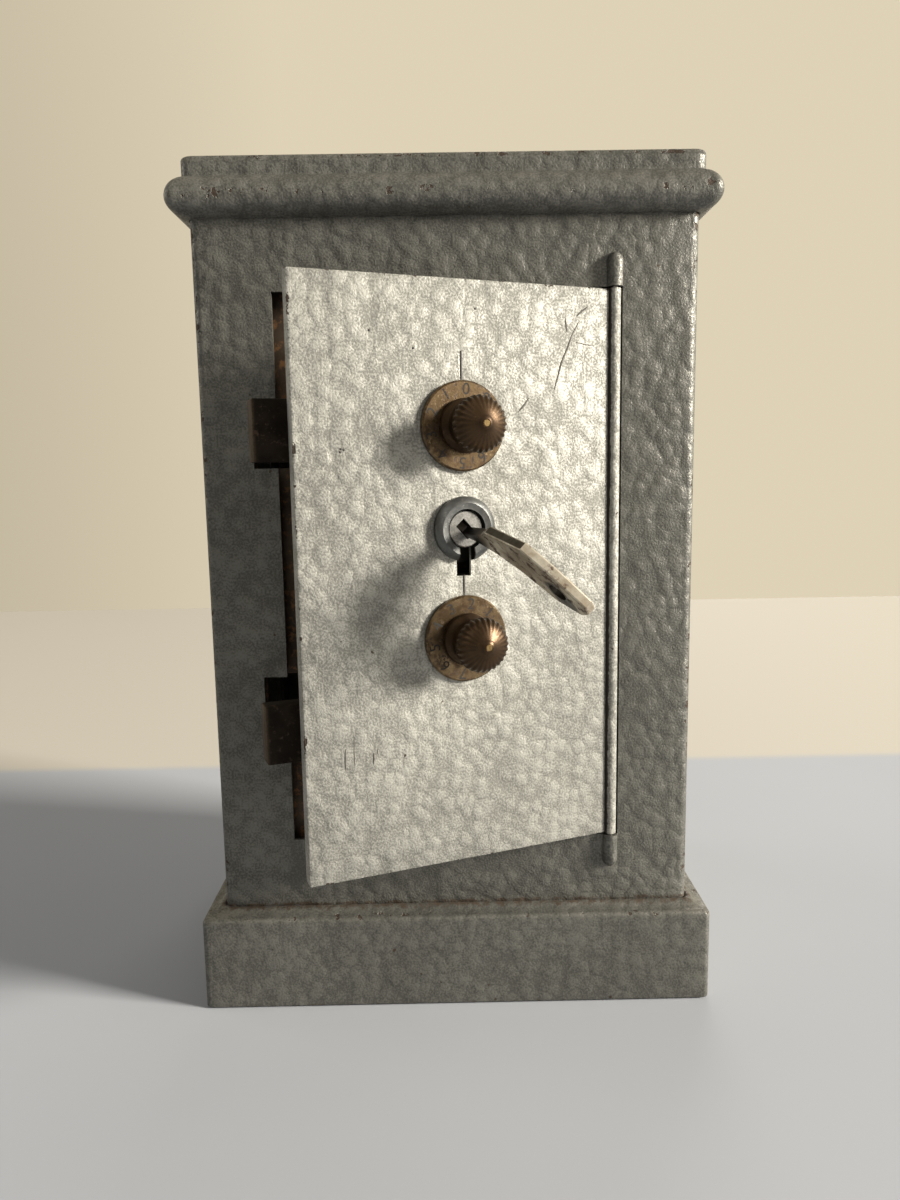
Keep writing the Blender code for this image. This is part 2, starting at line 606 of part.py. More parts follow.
# Lock plug with its keyway
plug_front = -PLUG_SET
lock_plug = solid("lock_plug",
                  lathe([(PLUG_R - 0.2 * MM, plug_front), (PLUG_R, plug_front + 0.2 * MM),
                         (PLUG_R, PLUG_BACK)], 32),
                  PLAIN_STEEL, key_axis)
slot = blade + SEAT
cut(lock_plug, "keyway",
    box(-slot, slot, plug_front - OVER, BLADE_IN + SEAT, -KEY_T / 2 - SEAT, KEY_T / 2 + SEAT))

# Drive disc and its crank pin behind the plug
drive_disc = solid("drive_disc",
                   lathe([(DISC_R, PLUG_BACK + SEAT), (DISC_R, DISC_BACK)], 40), PLAIN_STEEL, lock_axis)
pin_x = DRIVE_R * math.sin(KEY_TURN / 2)
pin_z = -DRIVE_R * math.cos(KEY_TURN / 2)
pin_turn = axis_empty("drive_pin_place", (pin_x, 0.0, pin_z), parent=lock_axis)
drive_pin = solid("drive_pin",
                  lathe([(DRIVE_PIN_R, PLUG_BACK + 3 * SEAT), (DRIVE_PIN_R, BAR_FRONT + BAR_T + 0.6 * MM),
                         (0.7 * DRIVE_PIN_R, BAR_FRONT + BAR_T + 0.9 * MM)], 20), PLAIN_STEEL, pin_turn)
cut(drive_disc, "pin_hole",
    prism(circle(DRIVE_PIN_R + SEAT, (pin_x, pin_z), 20), PLUG_BACK + 2 * SEAT, DISC_BACK + OVER, 'Y'))

# Bolt bar: upright, yoke arm and two fence arms
bar_low = LOWER_BOLT_Z - BOLT_H / 2
bar_high = UPPER_BOLT_Z + BOLT_H / 2
yoke_mid = LOCK_Z - DRIVE_R
yoke_half = YOKE_RIM + DRIVE_PIN_R
yoke_end = CONTROL_B - pin_x - YOKE_RIM
fence_end = CONTROL_B + FENCE_R
arm = FENCE_W / 2
bar_outline = [(-BAR_B1, bar_low), (-BAR_B0, bar_low),
               (-BAR_B0, LOWER_DIAL_Z - arm), (-fence_end, LOWER_DIAL_Z - arm),
               (-fence_end, LOWER_DIAL_Z + arm), (-BAR_B0, LOWER_DIAL_Z + arm),
               (-BAR_B0, yoke_mid - yoke_half), (-yoke_end, yoke_mid - yoke_half),
               (-yoke_end, yoke_mid + yoke_half), (-BAR_B0, yoke_mid + yoke_half),
               (-BAR_B0, UPPER_DIAL_Z - arm), (-fence_end, UPPER_DIAL_Z - arm),
               (-fence_end, UPPER_DIAL_Z + arm), (-BAR_B0, UPPER_DIAL_Z + arm),
               (-BAR_B0, bar_high), (-BAR_B1, bar_high)]
bolt_bar = solid("bolt_bar", prism(bar_outline, BAR_FRONT, BAR_FRONT + BAR_T, 'Y'), DARK_STEEL, door_axis)
for tag, z in (("upper_fence", UPPER_DIAL_Z), ("lower_fence", LOWER_DIAL_Z)):
    join(bolt_bar, tag,
         box(-fence_end - BAR_T, -fence_end, CUP_FLOOR + CUP_WALL + 2 * RUN, BAR_FRONT + BAR_T / 2,
             z - arm, z + arm))
slot_half = DRIVE_PIN_R + FIT
slot_low = LOCK_Z - DRIVE_R - slot_half - FIT
slot_high = LOCK_Z + pin_z + slot_half + FIT
cut(bolt_bar, "yoke",
    box(-CONTROL_B + pin_x - slot_half, -CONTROL_B + pin_x + slot_half, BAR_FRONT - OVER / 2,
        BAR_FRONT + BAR_T + OVER / 2, slot_low, slot_high))

# Bolts with two rivets each
rivet_b = (BOLT_ROOT + BAR_B1) / 2
number = 0
for tag, z in (("upper_bolt", UPPER_BOLT_Z), ("lower_bolt", LOWER_BOLT_Z)):
    bolt = solid(tag, box(-BOLT_TIP, -BOLT_ROOT, BOLT_FRONT, BOLT_BACK, z - BOLT_H / 2, z + BOLT_H / 2),
                 DARK_STEEL, door_axis)
    ease = bolt.modifiers.new("ease", 'BEVEL')
    ease.width = 0.35 * MM
    ease.segments = 2
    for step in (-1.0, 1.0):
        number += 1
        rivet_z = z + step * BOLT_H / 4
        hole = circle(RIVET_R + SEAT, (-rivet_b, rivet_z), 20)
        cut(bolt, "hole_%d" % number, prism(hole, BOLT_FRONT - OVER, BOLT_BACK + OVER, 'Y'))
        cut(bolt_bar, "hole_%d" % number, prism(hole, BAR_FRONT - OVER, BAR_FRONT + OVER, 'Y'))
        stand = axis_empty("bolt_rivet_%d_place" % number, (-rivet_b, 0.0, rivet_z), parent=door_axis)
        front = BAR_FRONT - SEAT
        rear = BOLT_BACK + SEAT
        solid("bolt_rivet_%d" % number,
              lathe([(0.6 * RIVET_HEAD_R, front - RIVET_HEAD_T), (RIVET_HEAD_R, front - 0.5 * RIVET_HEAD_T),
                     (RIVET_HEAD_R, front), (RIVET_R, front), (RIVET_R, rear), (RIVET_HEAD_R, rear),
                     (RIVET_HEAD_R, rear + 0.5 * RIVET_HEAD_T),
                     (0.6 * RIVET_HEAD_R, rear + RIVET_HEAD_T)], 20),
              PLAIN_STEEL, stand)
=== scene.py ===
"""Looks of the toy safe coin bank: hammered enamel, bronzed dials, worn steel and a plain studio."""
from __future__ import annotations

import json
import logging
import math
from dataclasses import dataclass, replace
from enum import Enum
from typing import Any, Sequence

import bpy
import numpy as np
from mathutils import Matrix

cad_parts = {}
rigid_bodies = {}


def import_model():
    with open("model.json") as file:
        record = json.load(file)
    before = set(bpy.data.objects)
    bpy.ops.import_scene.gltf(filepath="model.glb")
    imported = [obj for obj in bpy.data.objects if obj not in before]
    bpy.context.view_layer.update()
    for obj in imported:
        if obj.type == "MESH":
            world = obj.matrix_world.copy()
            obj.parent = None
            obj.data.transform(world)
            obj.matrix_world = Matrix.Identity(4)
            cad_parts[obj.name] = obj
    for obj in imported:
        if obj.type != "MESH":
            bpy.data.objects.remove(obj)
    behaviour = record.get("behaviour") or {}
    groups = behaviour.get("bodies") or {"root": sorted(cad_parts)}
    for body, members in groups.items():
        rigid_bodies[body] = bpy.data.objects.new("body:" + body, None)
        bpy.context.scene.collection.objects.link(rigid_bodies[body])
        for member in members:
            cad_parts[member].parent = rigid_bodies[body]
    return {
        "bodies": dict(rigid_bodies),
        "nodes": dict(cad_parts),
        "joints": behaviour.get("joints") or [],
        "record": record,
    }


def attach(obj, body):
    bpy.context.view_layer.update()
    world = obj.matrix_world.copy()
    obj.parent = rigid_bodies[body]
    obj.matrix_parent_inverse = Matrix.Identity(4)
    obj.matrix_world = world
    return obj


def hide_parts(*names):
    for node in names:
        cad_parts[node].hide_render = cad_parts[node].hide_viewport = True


LOG = logging.getLogger("toy_safe")
MM = 0.001
UP = np.array([0.0, 0.0, 1.0])

Pair = tuple[float, float]
Colour = tuple[float, float, float]
Point = tuple[float, float, float]
Curve = tuple[Pair, ...]
Array = np.ndarray
Socket = bpy.types.NodeSocket
Outputs = bpy.types.NodeOutputs
Material = bpy.types.Material
Piece = bpy.types.Object

# Patterns in the finishes, in cells per metre
SWAY, SHIVER = 170.0, 700.0
GRAIN, STAIN, PITS, SPECKLE, FLAKES = 2500.0, 24.0, 560.0, 620.0, 330.0
FINE, SCUFFS, BRUSHING = 2600.0, 420.0, 5200.0


class Axis(Enum):
    """The coordinate that a worn band is measured along."""

    X = "X"
    Y = "Y"
    Z = "Z"


class Slot(Enum):
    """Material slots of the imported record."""

    BODY = "hammered_paint"
    DARK = "dark_steel"
    STEEL = "plain_steel"
    BRONZE = "bronze"


# Node trees


class NodeTree:
    """Builds a node tree with short calls."""

    def __init__(self, tree: bpy.types.NodeTree) -> None:
        """Take up the tree that nodes are added to."""
        self.tree = tree

    def add(self, kind: str, inputs: dict[Any, Any] | None = None, **settings: Any) -> bpy.types.Node:
        """Add a node.

        Args:
            kind: Blender's node type name.
            inputs: values or outputs to feed to it, by the name or number of its input.
            **settings: properties to set on the node.

        Returns:
            The new node.
        """
        node = self.tree.nodes.new(kind)
        for key, value in settings.items():
            setattr(node, key, value)
        for key, value in (inputs or {}).items():
            self.feed(node.inputs[key], value)
        return node

    def feed(self, socket: Socket, value: Any) -> None:
        """Link an output to a socket, or set the socket's own value.

        Args:
            socket: the input socket.
            value: an output socket or a constant.
        """
        if isinstance(value, Socket):
            self.tree.links.new(value, socket)
        else:
            socket.default_value = value

    def calc(self, operation: str, a: Any, b: Any = 0.0) -> Socket:
        """Combine two values or outputs by an operation of the Math node."""
        return self.add("ShaderNodeMath", {0: a, 1: b}, operation=operation).outputs[0]

    def weigh(self, *shares: tuple[Any, float]) -> Socket:
        """Weighted sum of values.

        Args:
            *shares: pairs of a value or output and its weight.

        Returns:
            The sum's output socket.
        """
        total, *rest = (self.calc("MULTIPLY", value, weight) for value, weight in shares)
        for product in rest:
            total = self.calc("ADD", total, product)
        return total

    def step(self, value: Any, low: float, high: float, to: Pair = (0.0, 1.0),
             kind: str = "SMOOTHSTEP") -> Socket:
        """Step of a value from low to high.

        Args:
            value: the value or output that is mapped.
            low: where the step starts.
            high: where the step ends.
            to: the results at low and at high.
            kind: how the result runs between them.

        Returns:
            The result's output socket.
        """
        inputs = {"Value": value, "From Min": low, "From Max": high, "To Min": to[0], "To Max": to[1]}
        return self.add("ShaderNodeMapRange", inputs, interpolation_type=kind).outputs["Result"]

    def blend(self, factor: Any, a: Any, b: Any, mode: str = "MIX") -> Socket:
        """Mix two colours.

        Args:
            factor: share of the second colour.
            a: first colour or output.
            b: second colour or output.
            mode: how they are mixed.

        Returns:
            The colour's output socket.
        """
        a, b = ((*value, 1.0) if isinstance(value, tuple) else value for value in (a, b))
        return self.add("ShaderNodeMix", {0: factor, 6: a, 7: b}, data_type="RGBA", blend_type=mode).outputs[2]

    def split(self, where: Any) -> Outputs:
        """Outputs X, Y and Z of coordinates, by name."""
        return self.add("ShaderNodeSeparateXYZ", {0: where}).outputs

    def noise(self, where: Any, scale: float, detail: float = 2.0, rough: float = 0.5) -> Socket:
        """Cloudy noise between 0 and 1.

        Args:
            where: coordinates.
            scale: cells per metre.
            detail: octaves.
            rough: strength of the finer octaves.

        Returns:
            The noise value's output socket.
        """
        inputs = {"Vector": where, "Scale": scale, "Detail": detail, "Roughness": rough}
        return self.add("ShaderNodeTexNoise", inputs).outputs["Fac"]

    def cells(self, where: Any, scale: float, smooth: float) -> Socket:
        """Distance to the nearest cell centre, with so many cells per metre that melt together by a share."""
        inputs = {"Vector": where, "Scale": scale, "Smoothness": smooth}
        return self.add("ShaderNodeTexVoronoi", inputs, feature="SMOOTH_F1").outputs["Distance"]

    def warp(self, where: Any, scale: float, amount: float) -> Socket:
        """Coordinates pushed about by noise.

        Args:
            where: coordinates.
            scale: noise cells per metre.
            amount: how far they are pushed, in metres.

        Returns:
            The pushed coordinates' output socket.
        """
        push = self.noise(where, scale).node.outputs["Color"]
        inputs = {0: push, 1: (2 * amount,) * 3, 2: where}
        return self.add("ShaderNodeVectorMath", inputs, operation="MULTIPLY_ADD").outputs[0]


class Paint(NodeTree):
    """The node tree of a new material."""

    def __init__(self, name: str) -> None:
        """Start a material that holds only its shader and output.

        Args:
            name: the material's name.
        """
        self.material = bpy.data.materials.new(name)
        self.material.use_nodes = True
        super().__init__(self.material.node_tree)
        self.shader = self.tree.nodes["Principled BSDF"]

    def place(self, turn: float = 0.0, origin: Pair = (0.0, 0.0)) -> Socket:
        """Object coordinates, turned back about Z round an upright axis.

        Args:
            turn: angle that the piece is turned by, in radians.
            origin: where the axis stands, X and Y.

        Returns:
            The coordinates' output socket.
        """
        source = self.add("ShaderNodeTexCoord").outputs["Object"]
        if turn == 0.0 and origin == (0.0, 0.0):
            return source
        c, s = math.cos(-turn), math.sin(-turn)
        shift = (-(c * origin[0] - s * origin[1]), -(s * origin[0] + c * origin[1]), 0.0)
        inputs = {"Rotation": (0.0, 0.0, -turn), "Location": shift, "Vector": source}
        return self.add("ShaderNodeMapping", inputs).outputs[0]

    def facing(self, axis: Point) -> Socket:
        """How squarely the surface faces along an axis of the piece, either way.

        Args:
            axis: the axis, of length 1.

        Returns:
            The share's output socket, 1 where the surface is square to the axis.
        """
        normal = self.add("ShaderNodeTexCoord").outputs["Normal"]
        node = self.add("ShaderNodeVectorMath", {0: normal, 1: axis}, operation="DOT_PRODUCT")
        return self.calc("ABSOLUTE", node.outputs["Value"])

    def bump(self, height: Any, strength: float, distance: float) -> None:
        """Send a height to the shader's normal.

        Args:
            height: the height's output.
            strength: share of the effect.
            distance: height of a full step, in metres.
        """
        inputs = {"Strength": strength, "Distance": distance, "Height": height}
        self.feed(self.shader.inputs["Normal"], self.add("ShaderNodeBump", inputs).outputs["Normal"])


@dataclass
class Layers:
    """What a finish feeds to its shader, built up layer by layer."""

    tree: Paint
    colour: Any
    rough: Any
    metal: Any
    height: Any

    def cover(self, share: Any, colour: Colour, rough: float = 0.0, metal: float = 0.0,
              dent: float = 0.0) -> None:
        """Lay a colour over part of the surface.

        Args:
            share: how much of the layer shows, from 0 to 1.
            colour: the layer's colour.
            rough: least rough where it shows.
            metal: how much less metallic it is there.
            dent: how much lower it lies there.
        """
        calc = self.tree.calc
        self.colour = self.tree.blend(share, self.colour, colour)
        if rough:
            self.rough = calc("MAXIMUM", self.rough, calc("MULTIPLY", share, rough))
        if metal:
            self.metal = calc("SUBTRACT", self.metal, calc("MULTIPLY", share, metal))
        if dent:
            self.height = calc("SUBTRACT", self.height, calc("MULTIPLY", share, dent))

    def material(self, strength: float, distance: float) -> Material:
        """Send the layers to the shader.

        Args:
            strength: share of the relief.
            distance: height of a full step of it, in metres.

        Returns:
            The finished material.
        """
        inputs = self.tree.shader.inputs
        for key, value in (("Base Color", self.colour), ("Roughness", self.rough), ("Metallic", self.metal)):
            self.tree.feed(inputs[key], value)
        self.tree.bump(self.height, strength, distance)
        return self.tree.material


# Finishes


@dataclass(frozen=True)
class WornBand:
    """A line along which a surface shows wear or rust, or carries painted shade or a painted highlight."""

    axis: Axis
    at: float
    width: float
    strength: float
    also: WornBand | None = None
    folded: bool = False

    def mask(self, tree: NodeTree, parts: Outputs) -> Socket:
        """Share of the band's wear, rust, painted shade or painted highlight: its strength on the line and 0 past
        its width.

        Args:
            tree: the material's tree.
            parts: the coordinates, taken apart.

        Returns:
            The mask's output socket.
        """
        value: Any = parts[self.axis.value]
        if self.folded:
            value = tree.calc("ABSOLUTE", value)
        away = tree.calc("ABSOLUTE", tree.calc("SUBTRACT", value, self.at))
        share = tree.step(away, 0.0, self.width, (self.strength, 0.0))
        return share if self.also is None else tree.calc("MULTIPLY", share, self.also.mask(tree, parts))


def worn_share(tree: NodeTree, parts: Outputs, bands: Sequence[WornBand]) -> Socket:
    """Largest share over several lines, of wear, rust, painted shade or a painted highlight.

    Args:
        tree: the material's tree.
        parts: the coordinates, taken apart.
        bands: the lines.

    Returns:
        The mask's output socket.
    """
    mask: Any = 0.0
    for band in bands:
        mask = tree.calc("MAXIMUM", mask, band.mask(tree, parts))
    return mask


@dataclass(frozen=True)
class HammeredEnamel:
    """Silver hammered enamel: packed soft lumps, pale on top, with chips and rust along given lines."""

    name: str
    light: Colour
    dark: Colour
    rough: float
    metal: float
    relief: float
    cell: float = 2.5 * MM
    chips: tuple[WornBand, ...] = ()
    rust: tuple[WornBand, ...] = ()
    turn: float = 0.0
    origin: Pair = (0.0, 0.0)
    bare: Colour = (0.055, 0.038, 0.026)
    rusty: Colour = (0.052, 0.036, 0.022)

    def material(self) -> Material:
        """Build the material.

        Returns:
            The finished material.
        """
        tree = Paint(self.name)
        where = tree.place(self.turn, self.origin)
        parts = tree.split(where)
        pushed = tree.warp(tree.warp(where, SWAY, 1.1 * MM), SHIVER, 0.4 * MM)
        swell = tree.step(tree.noise(pushed, 0.3 / self.cell), 0.25, 0.75)
        lump = tree.step(tree.cells(pushed, 1.0 / self.cell, 0.3), 0.1, 0.85, (1.0, 0.0))
        grain = tree.noise(where, GRAIN, 2.0, 0.55)
        height = tree.weigh((swell, 0.34), (lump, 0.30), (grain, 0.20))
        fleck = tree.step(grain, 0.34, 0.66, (0.0, 0.46))
        shade = tree.step(tree.calc("ADD", tree.weigh((swell, 0.22), (lump, 0.30)), fleck), 0.17, 0.75)
        stain = tree.step(tree.noise(where, STAIN, 4.0, 0.6), 0.3, 0.75, (0.86, 1.06))
        colour = tree.blend(1.0, tree.blend(shade, self.dark, self.light), stain, "MULTIPLY")
        rough = tree.step(shade, 0.0, 1.0, (self.rough + 0.12, self.rough - 0.04))
        look = Layers(tree, colour, rough, self.metal, height)
        look.cover(tree.step(tree.noise(where, PITS, 1.0), 0.775, 0.8), self.bare)
        # Rust along given lines; on the door this layer paints shade instead, the hinge barrel's shadow in the
        # crease beside it.
        if self.rust:
            ragged = tree.step(tree.noise(where, SPECKLE, 5.0, 0.65), 0.35, 0.7, (-0.5, 0.25))
            creep = tree.calc("ADD", worn_share(tree, parts, self.rust), ragged)
            look.cover(tree.step(creep, 0.2, 0.75), self.rusty, rough=0.8, metal=self.metal)
        if self.chips:
            ragged = tree.step(tree.noise(where, FLAKES, 4.0, 0.7), 0.42, 0.66, (-0.95, 0.25))
            flake = tree.calc("ADD", worn_share(tree, parts, self.chips), ragged)
            look.cover(tree.step(flake, 0.25, 0.4), self.bare, rough=0.7, dent=0.5)
        return look.material(1.0, self.relief)


@dataclass(frozen=True)
class AgedMetal:
    """Bare or plated metal with patina, scuffs and specks of rust, painted highlights along given lines, and
    painted shade on a facet, towards the depth and along given lines.
    """

    name: str
    base: Colour
    patina: Colour
    bright: Colour
    rough: float
    metal: float
    patch: float = 3.0 * MM
    rust: float = 0.0
    rusty: Colour = (0.20, 0.095, 0.035)
    crest: str = ""
    brushed: float = 0.0
    # Painted highlight: lines along which the metal is painted bright.
    rubbed: tuple[WornBand, ...] = ()
    turn: float = 0.0
    origin: Pair = (0.0, 0.0)
    spot: float = 1.9 * MM
    flat: Point | None = None
    # The next four fields paint shade: a facet that faces a given way, parts lying deep along Y and given lines
    # take a dark tone of painted shade.
    dull: Point | None = None
    soot: Pair | None = None
    grime: tuple[WornBand, ...] = ()
    dirt: Colour = (0.014, 0.011, 0.008)

    def corrode(self, look: Layers, where: Socket) -> None:
        """Lay specks of rust over the metal, more of them on its flat sides.

        Args:
            look: the layers so far.
            where: coordinates.
        """
        tree = look.tree
        spots = tree.noise(where, 1.0 / self.spot, 6.0, 0.68)
        if self.flat is not None:
            broad = tree.facing(self.flat)
            look.cover(tree.step(broad, 0.55, 0.8, (0.0, 0.5)), self.patina)
            spots = tree.calc("ADD", spots, tree.step(broad, 0.55, 0.8, (0.03, 0.08)))
        eaten = tree.step(spots, 0.66 - 0.3 * self.rust, 0.78 - 0.3 * self.rust)
        look.cover(eaten, self.rusty, rough=0.78, metal=0.7 * self.metal, dent=0.35)

    def material(self) -> Material:
        """Build the material.

        Returns:
            The finished material.
        """
        tree = Paint(self.name)
        where = tree.place(self.turn, self.origin)
        parts = tree.split(where)
        cloud = tree.noise(where, 1.0 / self.patch, 5.0, 0.62)
        fine = tree.noise(where, FINE, 4.0, 0.6)
        zones = tree.step(tree.noise(where, SCUFFS, 3.0), 0.45, 0.7)
        scuffs_and_highlight = tree.calc("MULTIPLY", tree.step(fine, 0.56, 0.72), zones)
        if self.crest:
            mark = tree.add("ShaderNodeAttribute", attribute_name=self.crest)
            wear_and_highlight = tree.calc("MULTIPLY", mark.outputs["Fac"], tree.step(cloud, 0.2, 0.6, (0.35, 1.0)))
            scuffs_and_highlight = tree.calc("MAXIMUM", scuffs_and_highlight, wear_and_highlight)
        # Painted highlight: bright metal along given lines, such as the lit ends of the bolts, joined to the
        # scuffs.
        if self.rubbed:
            patchy = tree.step(fine, 0.3, 0.6, (0.5, 1.0))
            wear_and_highlight = tree.calc("MULTIPLY", worn_share(tree, parts, self.rubbed), patchy)
            scuffs_and_highlight = tree.calc("MAXIMUM", scuffs_and_highlight, wear_and_highlight)
        colour = tree.blend(tree.step(cloud, 0.36, 0.66), self.base, self.patina)
        rough = tree.step(cloud, 0.3, 0.75, (self.rough - 0.06, self.rough + 0.14))
        look = Layers(tree, colour, rough, self.metal, tree.weigh((fine, 0.5), (cloud, 0.5)))
        look.cover(tree.calc("MULTIPLY", scuffs_and_highlight, 0.8), self.bright)
        if self.brushed > 0.0:
            drawn = tree.add("ShaderNodeMapping", {"Vector": where, "Scale": (1.0, 1.0, 0.06)}).outputs[0]
            lines = tree.calc("MULTIPLY", tree.noise(drawn, BRUSHING), self.brushed)
            look.height = tree.calc("ADD", look.height, lines)
        if self.rust > 0.0:
            self.corrode(look, where)
        # Painted shade: a dark tone on the facet that faces a given way, on the parts lying deep along Y and
        # along given lines.
        if self.dull is not None:
            look.cover(tree.step(tree.facing(self.dull), 0.90, 0.97, (0.0, 0.8)), self.dirt)
        if self.soot is not None:
            look.cover(tree.step(parts["Y"], *self.soot), self.dirt)
        if self.grime:
            look.cover(worn_share(tree, parts, self.grime), self.dirt)
        return look.material(0.35, 0.06 * MM)


# Shaded and lit copies of one hammered enamel: the body's colours are painted darker as painted shade, and the
# door's lighter as painted light where the door faces the key lamp.
SHADED_BODY_ENAMEL = HammeredEnamel(
    "shaded_body_enamel", light=(0.158, 0.154, 0.134), dark=(0.090, 0.089, 0.077), rough=0.47, metal=0.45,
    relief=0.58 * MM)
# The door's rusty colour serves only the painted shade along the hinge barrel.
LIT_DOOR_ENAMEL = HammeredEnamel(
    "lit_door_enamel", light=(0.385, 0.378, 0.335), dark=(0.225, 0.22, 0.192), rough=0.62, metal=0.34,
    relief=0.56 * MM, rusty=(0.022, 0.016, 0.011))

TRAY_STEEL = AgedMetal(
    "tray_steel", (0.40, 0.39, 0.37), (0.30, 0.28, 0.25), (0.55, 0.54, 0.52), rough=0.5, metal=0.8,
    patch=9 * MM, rust=0.45)
KEEPER_STEEL = AgedMetal(
    "keeper_steel", (0.080, 0.056, 0.036), (0.050, 0.033, 0.022), (0.22, 0.17, 0.12), rough=0.55, metal=0.6,
    patch=6 * MM, rust=0.5)
PIN_STEEL = AgedMetal(
    "pin_steel", (0.42, 0.41, 0.39), (0.30, 0.28, 0.25), (0.60, 0.58, 0.55), rough=0.4, metal=0.9,
    patch=4 * MM, rust=0.3)
MARK_INK = AgedMetal(
    "mark_ink", (0.030, 0.027, 0.024), (0.045, 0.040, 0.034), (0.10, 0.09, 0.08), rough=0.6, metal=0.2)
# Painted highlight: a pale line beside the upper index mark, the lit edge of its groove.
GROOVE_HIGHLIGHT = AgedMetal(
    "groove_highlight", (0.62, 0.60, 0.53), (0.50, 0.48, 0.42), (0.75, 0.73, 0.66), rough=0.4, metal=0.5)
SCRATCH_STEEL = AgedMetal(
    "scratch_steel", (0.10, 0.092, 0.078), (0.055, 0.050, 0.043), (0.30, 0.29, 0.26), rough=0.55, metal=0.5)
COLLAR_ZINC = AgedMetal(
    "collar_zinc", (0.125, 0.128, 0.123), (0.070, 0.072, 0.070), (0.32, 0.32, 0.30), rough=0.40, metal=0.75,
    patch=2 * MM, rust=0.12, rusty=(0.06, 0.05, 0.04), spot=0.8 * MM)
INNER_STEEL = AgedMetal(
    "inner_steel", (0.45, 0.44, 0.42), (0.33, 0.31, 0.28), (0.62, 0.61, 0.58), rough=0.42, metal=0.85,
    patch=7 * MM, rust=0.25, brushed=0.6)
# Painted shade: the key darkens towards the leaf, where it enters the lock.
KEY_STEEL = AgedMetal(
    "key_steel", (0.60, 0.555, 0.46), (0.30, 0.25, 0.18), (0.76, 0.72, 0.62), rough=0.36, metal=0.7,
    patch=4 * MM, rust=0.30, rusty=(0.085, 0.050, 0.030), spot=2.6 * MM, soot=(-10.0 * MM, -5.0 * MM))
# Dark brown steel, darkened further as painted shade, the door's shadow on the bolts; its bright colour also
# paints the highlight on their ends.
SHADED_BOLT_STEEL = AgedMetal(
    "shaded_bolt_steel", (0.018, 0.012, 0.007), (0.010, 0.007, 0.005), (0.085, 0.062, 0.040), rough=0.66, metal=0.8,
    patch=5 * MM, rust=0.3, rusty=(0.045, 0.024, 0.012))
# Painted shade: the plug darkens deeper in its recess.
PLUG_STEEL = AgedMetal(
    "plug_steel", (0.42, 0.41, 0.385), (0.16, 0.157, 0.145), (0.66, 0.65, 0.61), rough=0.30, metal=0.85,
    patch=1.2 * MM, rust=0.15, rusty=(0.05, 0.035, 0.024), soot=(-0.6 * MM, 0.0))
OILED_STEEL = AgedMetal(
    "oiled_steel", (0.018, 0.016, 0.014), (0.010, 0.009, 0.008), (0.05, 0.045, 0.04), rough=0.5, metal=0.4)


class Shared(Enum):
    """Finishes that several pieces share."""

    KNOB = AgedMetal(
        "knob_bronze", (0.050, 0.029, 0.014), (0.030, 0.017, 0.008), (0.105, 0.066, 0.031), rough=0.36,
        metal=0.8, patch=2.5 * MM, crest="crest")
    DIAL = AgedMetal(
        "dial_bronze", (0.19, 0.134, 0.074), (0.066, 0.042, 0.024), (0.55, 0.42, 0.24), rough=0.32,
        metal=0.95, patch=1.4 * MM, rust=0.42, rusty=(0.042, 0.025, 0.014), spot=1.1 * MM)
    TIP = AgedMetal(
        "spindle_bronze", (0.30, 0.21, 0.09), (0.15, 0.095, 0.04), (0.60, 0.46, 0.23), rough=0.30,
        metal=0.9, patch=0.8 * MM)
    BRASS = AgedMetal(
        "spindle_brass", (0.46, 0.32, 0.13), (0.32, 0.21, 0.085), (0.68, 0.52, 0.26), rough=0.36,
        metal=0.9, patch=1.5 * MM)
    STEEL = AgedMetal(
        "small_steel", (0.46, 0.45, 0.43), (0.34, 0.32, 0.29), (0.64, 0.63, 0.60), rough=0.42,
        metal=0.9, patch=3 * MM, rust=0.25)
    INK = AgedMetal(
        "figure_ink", (0.010, 0.008, 0.006), (0.018, 0.014, 0.010), (0.05, 0.04, 0.03), rough=0.75, metal=0.0)


Finishes = dict[Shared, Material]


# Surfaces

BEND_POINTS, SIDE_POINTS = 10, 24


def grid_quads(index: Array) -> Array:
    """Faces (count, 4) of a grid of point numbers: each point is joined to the next along both parameters."""
    corners = [index[:-1, :-1], index[:-1, 1:], index[1:, 1:], index[1:, :-1]]
    return np.stack(corners, axis=-1).reshape(-1, 4)


def grid_piece(name: str, points: Array, wrap: bool = True) -> Piece:
    """Mesh over a grid of points.

    Args:
        name: the piece's name.
        points: array of shape (rows, columns, 3), in metres.
        wrap: join the last row and the last column to the first.

    Returns:
        The new object, at the origin.
    """
    index = np.arange(points.shape[0] * points.shape[1]).reshape(points.shape[:2])
    if wrap:
        index = np.pad(index, ((0, 1), (0, 1)), mode="wrap")
    return quad_piece(name, points.reshape(-1, 3), grid_quads(index))


def quad_piece(name: str, points: Array, quads: Array) -> Piece:
    """Mesh from points and four-sided faces.

    Args:
        name: the piece's name.
        points: array of shape (count, 3).
        quads: array of shape (faces, 4) of point numbers.

    Returns:
        The new object, at the origin, smooth shaded.
    """
    mesh = bpy.data.meshes.new(name)
    mesh.vertices.add(len(points))
    mesh.vertices.foreach_set("co", np.ascontiguousarray(points, dtype=np.float32).ravel())
    mesh.loops.add(quads.size)
    mesh.loops.foreach_set("vertex_index", quads.astype(np.int32).ravel())
    mesh.polygons.add(len(quads))
    mesh.polygons.foreach_set("loop_start", np.arange(0, quads.size, 4, dtype=np.int32))
    mesh.polygons.foreach_set("use_smooth", np.ones(len(quads), dtype=bool))
    mesh.update(calc_edges=True)
    mesh.validate()
    return linked(name, mesh)


def linked(name: str, data: bpy.types.ID) -> Piece:
    """Put data into the scene.

    Args:
        name: the object's name.
        data: a mesh, curve, lamp or camera.

    Returns:
        The new object, at the origin.
    """
    piece = bpy.data.objects.new(name, data)
    bpy.context.scene.collection.objects.link(piece)
    return piece


